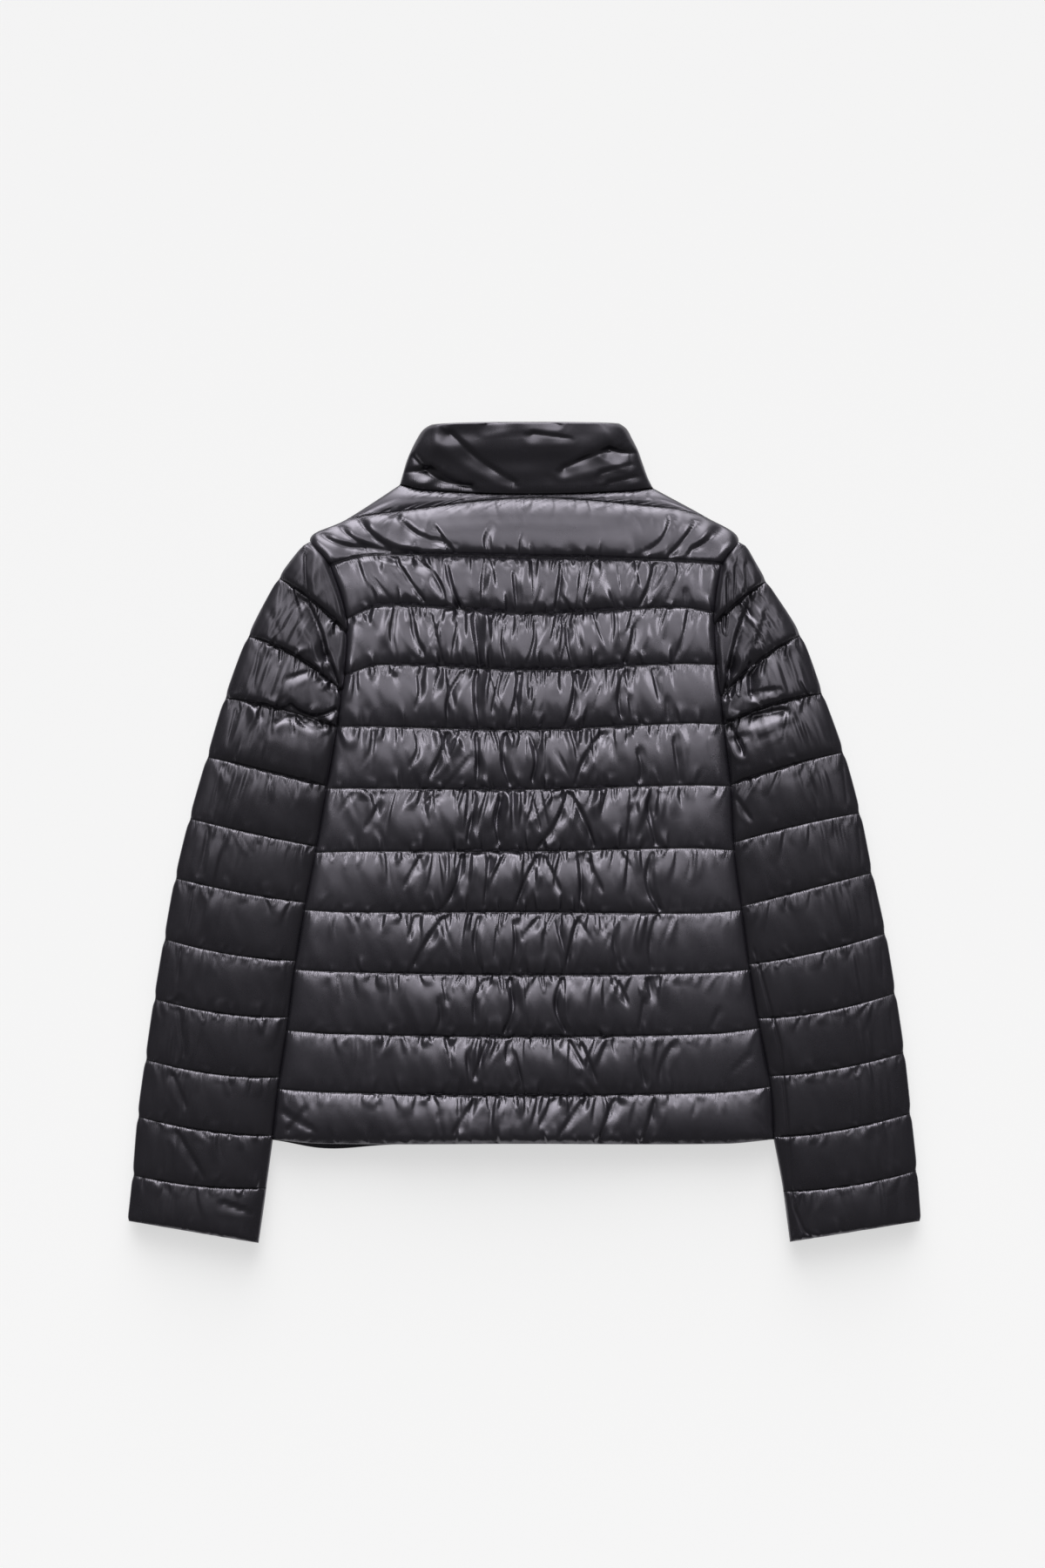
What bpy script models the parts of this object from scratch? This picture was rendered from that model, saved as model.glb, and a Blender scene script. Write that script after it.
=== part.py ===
"""A light quilted puffer jacket lying flat on its front, with the back panel up.

Metres, +Z up. +X is the wearer's right, +Y runs from hem to collar, and the floor is Z = 0. The origin
is on the floor, under the middle of the whole garment. Every padded wall has a plain inner face on the
level where the front and back layers meet, and is shaped on its outer face: quilted channels, seams
that dip, edges that round off, and the largest folds.
"""

import math
from collections import namedtuple

import bmesh
import bpy

MM = 0.001

# Heights of the layers, in millimetres
MID_Z = 12.0  # level where the back layer lies on the front layer
LAYER_GAP = 0.3  # between the two layers
SEAM_GAP = 0.35  # between two pieces that are sewn together
NECK_SEAM_GAP = 0.45  # the same, along the curved neck seam
SLEEVE_GAP = 0.7  # between a sleeve and the side of the body that it lies against
STITCH_RISE = 3.6  # wall thickness under a line of quilting
CHANNEL_PITCH = 54.0  # about how far apart the lines of quilting are
PUFF_RISE = 10.4  # how far the padding stands above a line of quilting
SLEEVE_PUFF_RISE = 12.4
SHOULDER_PUFF = 6.0  # along the narrow strip between the neck seam and the first line of quilting
COLLAR_RISE = 15.0
COLLAR_TOP_ROUND = 10.0
COLLAR_TOP_DIP = 0.12
COLLAR_SMILE = 2.2  # the higher, the straighter the middle of the collar's lines
EDGE_RISE = 1.2  # wall thickness at the very edge of a rounded side
FRONT_RISE = MID_Z - LAYER_GAP / 2  # the front walls reach the floor

# How far each kind of edge reaches into a panel, in millimetres
SIDE_ROUND = 24.0
SEAM_ROUND = 13.0
SEAM_DIP = 0.34  # share of the full height that is left at an armhole seam
NECK_DIP = 0.55
HEM_ROUND = 9.0
HEM_DIP = 0.45
FLOOR_ROUND = 15.0  # on the underside, which lies pressed on the floor
ZIP_EDGE_ROUND = 5.0
ZIP_EDGE_DIP = 0.72

# Zip, slider and pull tab, in millimetres
ZIP_WIDTH = 9.0
ZIP_TAPE = 1.0
ZIP_SHORT_OF_EDGE = 3.0  # the zip ends this far inside the hem and the collar's top
ZIP_TAPE_Z = 7.0
ZIP_COIL_WIDTH = 4.6
ZIP_COIL = 2.4
SLIDER_BELOW_TOP = 12.0  # from the top of the collar to the slider's middle
SLIDER_LENGTH = 9.0
SLIDER_PLATE_Z = 2.6  # the plate's outer face
SLIDER_FLANGE = 1.25
SLIDER_CORNER = 0.35
LOOP_Z = 0.35
LOOP_BAR = 0.7
LOOP_WIDTH = 1.5
LOOP_TUNNEL = 1.8
HINGE_Z = 1.83  # the tab turns about a line along X here
PULL_THICKNESS = 0.9
PULL_CORNER = 0.2
PULL_TIP_CHAMFER = 1.2
PULL_LENGTH = 24.0
PULL_WIDTH_TOP = 4.6
PULL_WIDTH_TIP = 5.6
PULL_WINDOW = 2.5
PULL_WINDOW_WIDTH = 2.3
FRONT_NECK_DROP = 52.0  # how far the front neckline lies below the back one
NECK_DROP_REACH = 170.0  # how far down the chest the quilting follows that drop
HEM_SAG = 4.5  # the front hem hangs out below the back one here
HEM_SAG_X = -175.0
HEM_SAG_WIDTH = 38.0

CHANNEL_STEPS = (0.16, 0.5, 0.84)  # rows between two lines of quilting
PUFF_FULLNESS = 2.2  # the higher, the flatter the top of a padded channel
PUFF_BULGE = 0.75  # the lower, the steeper it rises from its lines of quilting
SHOULDER_ROLL = 0.4  # share of a channel's height where it rolls over the shoulder
HEM_PUFF = 0.55  # the last channel stays this full down to the hem
CUFF_PUFF = 0.6
BACK_COLUMNS = 40
FRONT_COLUMNS = 12
SLEEVE_TOP_COLUMNS = 12
SLEEVE_BOTTOM_COLUMNS = 6
COLLAR_BACK_COLUMNS = 26
COLLAR_FRONT_COLUMNS = FRONT_COLUMNS - 1  # so that the two seam lines run side by side

# One row for each line across the body. The inner points lie at four fifths of the way to each side.
BodyLine = namedtuple("BodyLine", "name left_x left_y left_inner_y centre_y right_inner_y right_y right_x")
BODY = (
    BodyLine("neck", -113, 315, 310, 306, 309, 312, 117),
    BodyLine("quilt_0", -161, 284, 289, 303, 294, 287, 163),
    BodyLine("shoulder", -194, 267, 274, 283, 275, 267, 194),
    BodyLine("quilt_1", -177, 242, 251, 249, 246, 243, 180),
    BodyLine("quilt_2", -162, 193, 206, 198, 204, 199, 173),
    BodyLine("quilt_3", -164, 142, 152, 147, 153, 152, 175),
    BodyLine("quilt_4", -171, 96, 96, 93, 99, 98, 182),
    BodyLine("quilt_5", -180, 40, 40, 39, 43, 42, 188),
    BodyLine("quilt_6", -190, -18, -17, -17, -14, -16, 191),
    BodyLine("quilt_7", -200, -70, -72, -72, -73, -70, 198),
    BodyLine("quilt_8", -209, -124, -126, -129, -127, -124, 205),
    BodyLine("quilt_9", -216, -179, -182, -185, -182, -177, 214),
    BodyLine("quilt_10", -224, -232, -235, -238, -235, -230, 224),
    BodyLine("hem", -229, -278, -282, -282, -282, -278, 227),
)
SHOULDER = 2  # rows of BODY at the top and at the bottom of the armhole
UNDERARM = 6

# One row for each line across a sleeve, from its outer edge to its inner one. Down to the hem the inner
# end lies beside the body, at that place among the rows of BODY, and below it at x and y of its own.
# The bow is how far the middle of the line is lifted.
SleeveLine = namedtuple("SleeveLine", "name outer_x outer_y beside inner_x inner_y bow")
LEFT_SLEEVE = (
    SleeveLine("cap", -202, 259, 2.16, None, None, 0),
    SleeveLine("quilt_1", -223, 231, 4.25, None, None, 3),
    SleeveLine("quilt_2", -251, 178, 5.30, None, None, 7),
    SleeveLine("quilt_3", -272, 122, 6.00, None, None, 3),
    SleeveLine("quilt_4", -288, 69, 6.96, None, None, 0),
    SleeveLine("quilt_5", -304, 13, 7.90, None, None, -1),
    SleeveLine("quilt_6", -317, -41, 8.87, None, None, -2),
    SleeveLine("quilt_7", -327, -96, 9.85, None, None, -4),
    SleeveLine("quilt_8", -336, -150, 10.78, None, None, -5),
    SleeveLine("quilt_9", -344, -205, 11.79, None, None, -5),
    SleeveLine("quilt_10", -351, -257, 12.87, None, None, -4),
    SleeveLine("quilt_11", -355.5, -310, None, -234, -322, -4),
    SleeveLine("cuff", -360, -352, None, -241, -372, 0),
)
RIGHT_SLEEVE = (
    SleeveLine("cap", 202, 259, 2.16, None, None, 0),
    SleeveLine("quilt_1", 220, 228, 4.25, None, None, 2),
    SleeveLine("quilt_2", 251, 179, 5.55, None, None, 5),
    SleeveLine("quilt_3", 271, 126, 6.00, None, None, 4),
    SleeveLine("quilt_4", 290, 73, 6.98, None, None, 2),
    SleeveLine("quilt_5", 305, 18, 7.88, None, None, 2),
    SleeveLine("quilt_6", 316, -36, 8.94, None, None, 0),
    SleeveLine("quilt_7", 328, -91, 9.91, None, None, -3),
    SleeveLine("quilt_8", 337, -145, 10.83, None, None, -5),
    SleeveLine("quilt_9", 345, -199, 11.81, None, None, -4),
    SleeveLine("quilt_10", 351, -254, 12.91, None, None, -4),
    SleeveLine("quilt_11", 356.5, -306, None, 235, -325, -4),
    SleeveLine("cuff", 360, -352, None, 241, -371, 0),
)
CAP_TIP_RISE = 0.6  # the sleeve thins towards the narrow tip of its cap
CAP_TIP_WIDTH = 60.0
SEAT_WIDENING = 1.06  # widens the flat underside of a sleeve
WALL_AT_FOLD = 9.0  # how far the inside of a sleeve stops short of its outer fold

# One row for each height of the collar, from the neck seam to the top fold
CollarLine = namedtuple("CollarLine", "name left_x left_y centre_y right_y right_x")
COLLAR = (
    CollarLine("seam", -113, 315, 306, 312, 117),
    CollarLine("low", -110.5, 324, 318, 322, 112),
    CollarLine("fold", -107, 336, 332, 336, 107),
    CollarLine("middle", -103, 346, 344, 347, 103),
    CollarLine("upper", -98, 356, 356, 357, 98),
    CollarLine("high", -92, 365, 366, 366, 93),
    CollarLine("top", -84, 370, 372, 371, 86),
)

# The largest folds: soft troughs from one point to another, in millimetres
Fold = namedtuple("Fold", "from_x from_y to_x to_y depth half_width")
BACK_FOLDS = (
    Fold(-70, 244, -55, 202, 3.0, 7),
    Fold(-98, 240, -72, 206, 2.2, 7),
    Fold(119, 241, 104, 202, 3.0, 7),
    Fold(-40, 195, -38, 150, 2.6, 6),
    Fold(102, 194, 92, 152, 2.8, 7),
    Fold(40, 243, 33, 204, 2.0, 6),
    Fold(-40, 144, -39, 97, 2.4, 6),
    Fold(93, 142, 94, 98, 2.2, 6),
    Fold(18, 192, 6, 154, 2.0, 6),
    Fold(-71, 90, -86, 52, 2.2, 7),
    Fold(-44, 89, -45, 44, 2.6, 6),
    Fold(99, 88, 100, 44, 2.4, 6),
    Fold(64, 85, 44, 45, 2.2, 7),
    Fold(122, 86, 121, 44, 1.8, 6),
    Fold(-46, 35, -47, -8, 2.4, 6),
    Fold(36, 36, 12, -12, 2.4, 7),
    Fold(44, 30, 64, -12, 2.0, 7),
    Fold(94, 34, 92, -10, 2.0, 6),
    Fold(-69, -24, -78, -66, 2.4, 7),
    Fold(118, -20, 128, -60, 2.2, 7),
    Fold(-77, -80, -96, -122, 2.0, 7),
    Fold(-21, -134, -18, -178, 2.0, 6),
    Fold(36, -134, 41, -178, 2.0, 7),
)
SLEEVE_FOLDS = (
    Fold(-198, 210, -171, 130, 3.0, 8),
    Fold(-196, 245, -186, 205, 2.0, 7),
    Fold(206, 210, 184, 130, 3.0, 8),
    Fold(222, 205, 208, 165, 2.0, 7),
    Fold(203, 245, 202, 212, 2.0, 7),
    Fold(-312, 55, -306, 15, 1.2, 6),
    Fold(-322, -45, -318, -95, 1.2, 6),
    Fold(208, -106, 221, -153, 1.6, 4),
    Fold(221, -153, 232, -193, 2.0, 4),
    Fold(232, -193, 239, -276, 2.4, 4),
    Fold(239, -276, 245, -339, 2.0, 4),
)
COLLAR_FOLDS = (
    Fold(-106, 328, -82, 331, 3.4, 6),
    Fold(-82, 331, -48, 314, 2.6, 6),
    Fold(-98, 340, -50, 318, 3.0, 6),
    Fold(104, 346, 70, 342, 3.4, 6),
    Fold(70, 342, 38, 331, 3.0, 6),
)

Stuff = namedtuple("Stuff", "colour roughness metallic")
SHELL = Stuff((0.022, 0.021, 0.025, 1), 0.42, 0.0)
TAPE = Stuff((0.015, 0.015, 0.017, 1), 0.6, 0.0)
METAL = Stuff((0.06, 0.06, 0.065, 1), 0.35, 1.0)


def clear_scene():
    for thing in list(bpy.data.objects):
        bpy.data.objects.remove(thing)


def material(name, stuff):
    """A Principled material of its own for each piece."""
    made = bpy.data.materials.new(name)
    made.use_nodes = True
    shader = made.node_tree.nodes["Principled BSDF"]
    shader.inputs["Base Color"].default_value = stuff.colour
    shader.inputs["Roughness"].default_value = stuff.roughness
    shader.inputs["Metallic"].default_value = stuff.metallic
    return made


def smooth_between(values, place):
    """Catmull-Rom through evenly spaced values, read at a place counted in rows."""
    last = len(values) - 1
    row = min(max(int(math.floor(place)), 0), last - 1)
    t = place - row
    a = values[max(row - 1, 0)]
    b, c = values[row], values[row + 1]
    d = values[min(row + 2, last)]
    start_slope = (c - a) / 2
    end_slope = (d - b) / 2
    return (
        (2 * t**3 - 3 * t**2 + 1) * b
        + (t**3 - 2 * t**2 + t) * start_slope
        + (3 * t**2 - 2 * t**3) * c
        + (t**3 - t**2) * end_slope
    )


def mix(a, b, share):
    return a + (b - a) * share


def channel_shape(t):
    """Cross-section of one padded channel: 0 at its two lines of quilting, 1 in the middle."""
    return (1 - abs(2 * t - 1) ** PUFF_FULLNESS) ** PUFF_BULGE


def rounded(distance, reach):
    """Quarter of an ellipse: 0 at the edge, 1 from `reach` inwards."""
    short = 1 - min(max(distance / reach, 0), 1)
    return math.sqrt(1 - short * short)


def dipped(distance, reach, left):
    """As rounded, but with the share `left` still standing at the edge."""
    return left + (1 - left) * rounded(distance, reach)


def distance_to_segment(x, y, start, end):
    """(distance, share along the segment) of the nearest point."""
    dx, dy = end[0] - start[0], end[1] - start[1]
    along = ((x - start[0]) * dx + (y - start[1]) * dy) / (dx * dx + dy * dy)
    along = min(max(along, 0), 1)
    return math.hypot(x - start[0] - along * dx, y - start[1] - along * dy), along


def distance_to_line(x, y, points):
    return min(distance_to_segment(x, y, a, b)[0] for a, b in zip(points, points[1:]))


def fold_depth(x, y, folds):
    """How far the folds sink the wall here. A fold is deepest in the middle of its length."""
    depth = 0.0
    for fold in folds:
        away, along = distance_to_segment(x, y, fold[0:2], fold[2:4])
        if away < 2 * fold.half_width:
            length_shape = 0.35 + 0.65 * math.sin(math.pi * along)
            depth += fold.depth * length_shape * math.exp(-((away / fold.half_width) ** 2))
    return depth


def row_places(lines, with_steps):
    """Places of all the rows of a piece, counted in its table's rows, and each one's share of its channel."""
    places = []
    for row in range(len(lines) - 1):
        places.append((float(row), 0.0))
        places += [(row + step, step) for step in with_steps]
    places.append((float(len(lines) - 1), 0.0))
    return places


def channel_share(place):
    """Where a row of the body lies in its channel. The channel at the shoulders spans two rows of BODY."""
    row = int(math.floor(place))
    if row == 0:
        return 0.0
    if row == SHOULDER - 1:
        return SHOULDER_ROLL * (place - row)
    if row == SHOULDER:
        return mix(SHOULDER_ROLL, 1, place - row)
    if row >= len(BODY) - 2:
        return HEM_PUFF * (place - len(BODY) + 2)
    return place - row


def body_edge(side, place):
    """The left (-1) or right (+1) end of a line across the body, as x and y."""
    if side < 0:
        return (
            smooth_between([line.left_x for line in BODY], place),
            smooth_between([line.left_y for line in BODY], place),
        )
    return (
        smooth_between([line.right_x for line in BODY], place),
        smooth_between([line.right_y for line in BODY], place),
    )


def line_height(across, heights):
    """Height of a line across the body, `across` running from -1 to 1, through its five heights."""
    stops = (-1.0, -0.8, 0.0, 0.8, 1.0)
    for number in range(4):
        if across <= stops[number + 1] or number == 3:
            break
    t = (across - stops[number]) / (stops[number + 1] - stops[number])
    width = stops[number + 1] - stops[number]
    slopes = []
    for stop in (number, number + 1):
        before, after = max(stop - 1, 0), min(stop + 1, 4)
        slopes.append((heights[after] - heights[before]) / (stops[after] - stops[before]) * width)
    return (
        (2 * t**3 - 3 * t**2 + 1) * heights[number]
        + (t**3 - 2 * t**2 + t) * slopes[0]
        + (3 * t**2 - 2 * t**3) * heights[number + 1]
        + (t**3 - t**2) * slopes[1]
    )


def body_point(across, place):
    """A point of the body in plan: `across` from -1 (left) to 1 (right), `place` among the rows of BODY."""
    left, right = body_edge(-1, place), body_edge(1, place)
    columns = ("left_y", "left_inner_y", "centre_y", "right_inner_y", "right_y")
    heights = [smooth_between([getattr(line, name) for line in BODY], place) for name in columns]
    return mix(left[0], right[0], (across + 1) / 2), line_height(across, heights)


def edge_points(side, first, last, step=0.125):
    count = round((last - first) / step)
    return [body_edge(side, mix(first, last, n / count)) for n in range(count + 1)]


OPEN_SPANS = ((0, SHOULDER), (UNDERARM, len(BODY) - 1))
OPEN_EDGES = [edge_points(side, *span) for side in (-1, 1) for span in OPEN_SPANS]
ARMHOLES = [edge_points(side, SHOULDER, UNDERARM) for side in (-1, 1)]


def body_edge_share(x, y, side_reach):
    """What is left of the full height near the open sides, the shoulders and the armholes."""
    open_side = min(distance_to_line(x, y, points) for points in OPEN_EDGES)
    armhole = min(distance_to_line(x, y, points) for points in ARMHOLES)
    return rounded(open_side, side_reach) * dipped(armhole, SEAM_ROUND, SEAM_DIP)


def new_object(name, verts, faces, stuff, origin=(0, 0, 0)):
    """A closed mesh from points in millimetres, with the object's origin at a point of its own."""
    mesh = bpy.data.meshes.new(name)
    mesh.from_pydata([[(v - o) * MM for v, o in zip(point, origin)] for point in verts], [], faces)
    edit = bmesh.new()
    edit.from_mesh(mesh)
    bmesh.ops.recalc_face_normals(edit, faces=edit.faces)
    edit.to_mesh(mesh)
    edit.free()
    mesh.shade_smooth()
    mesh.set_sharp_from_angle(angle=math.radians(50))
    mesh.materials.append(material(name, stuff))
    made = bpy.data.objects.new(name, mesh)
    made.location = [o * MM for o in origin]
    bpy.context.scene.collection.objects.link(made)
    return made


def border_of(rows, columns):
    """Indices of the grid's border points, once round."""
    top = [(0, c) for c in range(columns)]
    right = [(r, columns - 1) for r in range(1, rows)]
    bottom = [(rows - 1, c) for c in range(columns - 2, -1, -1)]
    left = [(r, 0) for r in range(rows - 2, 0, -1)]
    return [r * columns + c for r, c in top + right + bottom + left]


def panel(name, grid, inner_z):
    """A wall with a shaped outer face, which is the grid of points, and one plain inner face at a level."""
    rows, columns = len(grid), len(grid[0])
    verts = [point for row in grid for point in row]
    faces = [
        (r * columns + c, r * columns + c + 1, (r + 1) * columns + c + 1, (r + 1) * columns + c)
        for r in range(rows - 1)
        for c in range(columns - 1)
    ]
    border = border_of(rows, columns)
    first_inner = len(verts)
    verts += [(verts[index][0], verts[index][1], inner_z) for index in border]
    count = len(border)
    for n in range(count):
        after = (n + 1) % count
        faces.append((border[n], border[after], first_inner + after, first_inner + n))
    faces.append(tuple(range(first_inner, first_inner + count)))
    return new_object(name, verts, faces, SHELL)


def make_back():
    """The back panel: quilted from neck to hem, rounded at the shoulders, sides and hem."""
    base = MID_Z + LAYER_GAP / 2
    grid = []
    for place, _ in row_places(BODY, CHANNEL_STEPS):
        row = []
        for column in range(BACK_COLUMNS):
            across = 2 * column / (BACK_COLUMNS - 1) - 1
            x, y = body_point(across, place)
            rise = STITCH_RISE + PUFF_RISE * channel_shape(channel_share(place))
            if 0 < place < 1:
                strip = body_point(across, 0)[1] - body_point(across, 1)[1]
                rise += SHOULDER_PUFF * math.sin(math.pi * place) * min(strip / SIDE_ROUND, 1)
            share = body_edge_share(x, y, SIDE_ROUND)
            hem = body_point(across, len(BODY) - 1)[1]
            neck = body_point(across, 0)[1]
            share *= dipped(y - hem, HEM_ROUND, HEM_DIP) * dipped(neck - y, HEM_ROUND, NECK_DIP)
            height = EDGE_RISE + (rise - EDGE_RISE) * share
            fullness = max(height - STITCH_RISE, 0) / PUFF_RISE
            row.append((x, y, base + height - fold_depth(x, y, BACK_FOLDS) * share * fullness))
        grid.append(row)
    return panel("back", grid, base)


def neck_drop(x, below_seam):
    """How far the front layer is pulled down towards its lower neckline, which fades out down the chest."""
    half = BODY[0].right_x
    fade = max(0.0, 1 - below_seam / NECK_DROP_REACH) ** 2
    return FRONT_NECK_DROP * max(0.0, 1 - (x / half) ** 2) * fade


def make_front(name, side):
    """One front panel, lying on the floor, from the side seam to the zip."""
    zip_edge = side * (ZIP_WIDTH / 2 + SEAM_GAP)
    grid = []
    for place, _ in row_places(BODY, CHANNEL_STEPS):
        edge_x = body_edge(side, place)[0]
        left, right = body_edge(-1, place)[0], body_edge(1, place)[0]
        row = []
        for column in range(FRONT_COLUMNS):
            # Columns crowd towards the two edges, where the wall is round.
            share = (1 - math.cos(math.pi * column / (FRONT_COLUMNS - 1))) / 2
            x = mix(edge_x, zip_edge, share)
            y = body_point(2 * (x - left) / (right - left) - 1, place)[1]
            edge = body_edge_share(x, y, FLOOR_ROUND)
            across = 2 * (x - left) / (right - left) - 1
            edge *= dipped(y - body_point(across, len(BODY) - 1)[1], HEM_ROUND, HEM_DIP)
            edge *= dipped(abs(x - zip_edge), ZIP_EDGE_ROUND, ZIP_EDGE_DIP)
            below_seam = body_point(across, 0)[1] - y
            edge *= dipped(below_seam, HEM_ROUND, NECK_DIP)
            depth = EDGE_RISE + (FRONT_RISE - EDGE_RISE) * edge
            in_hem_channel = max(0, place - len(BODY) + 2)
            sag = HEM_SAG * in_hem_channel * math.exp(-(((x - HEM_SAG_X) / HEM_SAG_WIDTH) ** 2))
            row.append((x, y - neck_drop(x, below_seam) - sag, FRONT_RISE - depth))
        grid.append(row)
    return panel(name, grid, FRONT_RISE)


def beside_body(side, place):
    """A point beside the edge of the body, on the straight runs between its rows, out by the gap there."""
    rows = [row for row, _ in row_places(BODY, CHANNEL_STEPS)]
    number = min(max(n for n, row in enumerate(rows) if row <= place + 1e-6), len(rows) - 2)
    start, end = body_edge(side, rows[number]), body_edge(side, rows[number + 1])
    share = (place - rows[number]) / (rows[number + 1] - rows[number])
    dx, dy = end[0] - start[0], end[1] - start[1]
    length = math.hypot(dx, dy)
    gap = mix(SEAM_GAP, SLEEVE_GAP, min(max(place - UNDERARM, 0), 1))
    # The edge runs downwards, so outwards is to the left of that way on the right-hand side.
    return (
        mix(start[0], end[0], share) - side * dy / length * gap,
        mix(start[1], end[1], share) + side * dx / length * gap,
    )


def sleeve_ends(lines, side, place):
    """The outer and inner ends of a line across a sleeve, and the lift of its middle."""
    outer = (
        smooth_between([line.outer_x for line in lines], place),
        smooth_between([line.outer_y for line in lines], place),
    )
    bow = smooth_between([line.bow for line in lines], place)
    beside = [line.beside for line in lines if line.beside is not None]
    row = int(place)
    if row < len(beside) - 1:
        return outer, beside_body(side, mix(beside[row], beside[row + 1], place - row)), bow
    lowest = beside_body(side, beside[-1])
    xs = [lowest[0]] + [line.inner_x for line in lines[len(beside):]]
    ys = [lowest[1]] + [line.inner_y for line in lines[len(beside):]]
    below = place - len(beside) + 1
    return outer, (smooth_between(xs, below), smooth_between(ys, below)), bow


def make_sleeve(name, lines, side):
    """One sleeve: a flattened tube of one piece, whose two long edges meet at the underarm seam."""
    cap_end = next(number for number, line in enumerate(lines) if line.beside == UNDERARM)
    last = len(lines) - 1
    loops = []
    for place, share in row_places(lines, CHANNEL_STEPS):
        outer, inner, bow = sleeve_ends(lines, side, place)
        width = math.hypot(outer[0] - inner[0], outer[1] - inner[1])
        below_cap = min(max(place - cap_end, 0), 1)
        inner_left = mix(SEAM_DIP, 0.0, below_cap)
        inner_reach = min(mix(SEAM_ROUND, SIDE_ROUND, below_cap), width / 2)
        outer_reach = min(SIDE_ROUND, width / 2)
        cuff_share = dipped((last - place) * CHANNEL_PITCH, HEM_ROUND, HEM_DIP)
        if place > last - 1:
            share = CUFF_PUFF * (place - last + 1)
        rise = (STITCH_RISE + SLEEVE_PUFF_RISE * channel_shape(share)) * cuff_share
        rise *= mix(CAP_TIP_RISE, 1, min(width / CAP_TIP_WIDTH, 1))

        def plan(along):
            lift = bow * 4 * along * (1 - along)
            return mix(inner[0], outer[0], along), mix(inner[1], outer[1], along) + lift

        def edge(along):
            inner_edge = dipped(along * width, inner_reach, inner_left)
            return inner_edge * rounded((1 - along) * width, outer_reach)

        loop = []
        for column in range(SLEEVE_TOP_COLUMNS + 1):
            along = (1 - math.cos(math.pi * column / SLEEVE_TOP_COLUMNS)) / 2
            x, y = plan(along)
            height = EDGE_RISE + (rise - EDGE_RISE) * edge(along)
            height -= fold_depth(x, y, SLEEVE_FOLDS) * edge(along)
            if column == SLEEVE_TOP_COLUMNS:
                loop.append((x, y, MID_Z))
            else:
                loop.append((x, y, MID_Z + LAYER_GAP / 2 + max(height, EDGE_RISE)))
        for column in range(1, SLEEVE_BOTTOM_COLUMNS + 1):
            along = (1 + math.cos(math.pi * column / SLEEVE_BOTTOM_COLUMNS)) / 2
            x, y = plan(along)
            depth = EDGE_RISE + (FRONT_RISE - EDGE_RISE) * edge(along)
            if column < SLEEVE_BOTTOM_COLUMNS:
                depth = min(depth * SEAT_WIDENING, FRONT_RISE)
            loop.append((x, y, FRONT_RISE - depth))
        inside = 1 - min(WALL_AT_FOLD, width / 2) / width
        upper = MID_Z + LAYER_GAP / 2
        for along, z in ((0, FRONT_RISE), (inside, FRONT_RISE), (inside, upper), (0, upper)):
            loop.append((*plan(along), z))
        loops.append(loop)

    count = len(loops[0])
    verts = [point for loop in loops for point in loop]
    faces = [tuple(range(count)), tuple(range(len(verts) - count, len(verts)))]
    for row in range(len(loops) - 1):
        start, following = row * count, (row + 1) * count
        for n in range(count):
            after = (n + 1) % count
            faces.append((start + n, start + after, following + after, following + n))
    return new_object(name, verts, faces, SHELL)


def collar_edges(place):
    """Left end, middle height and right end of a line round the collar."""
    names = ("left_x", "left_y", "centre_y", "right_y", "right_x")
    return [smooth_between([getattr(line, name) for line in COLLAR], place) for name in names]


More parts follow.
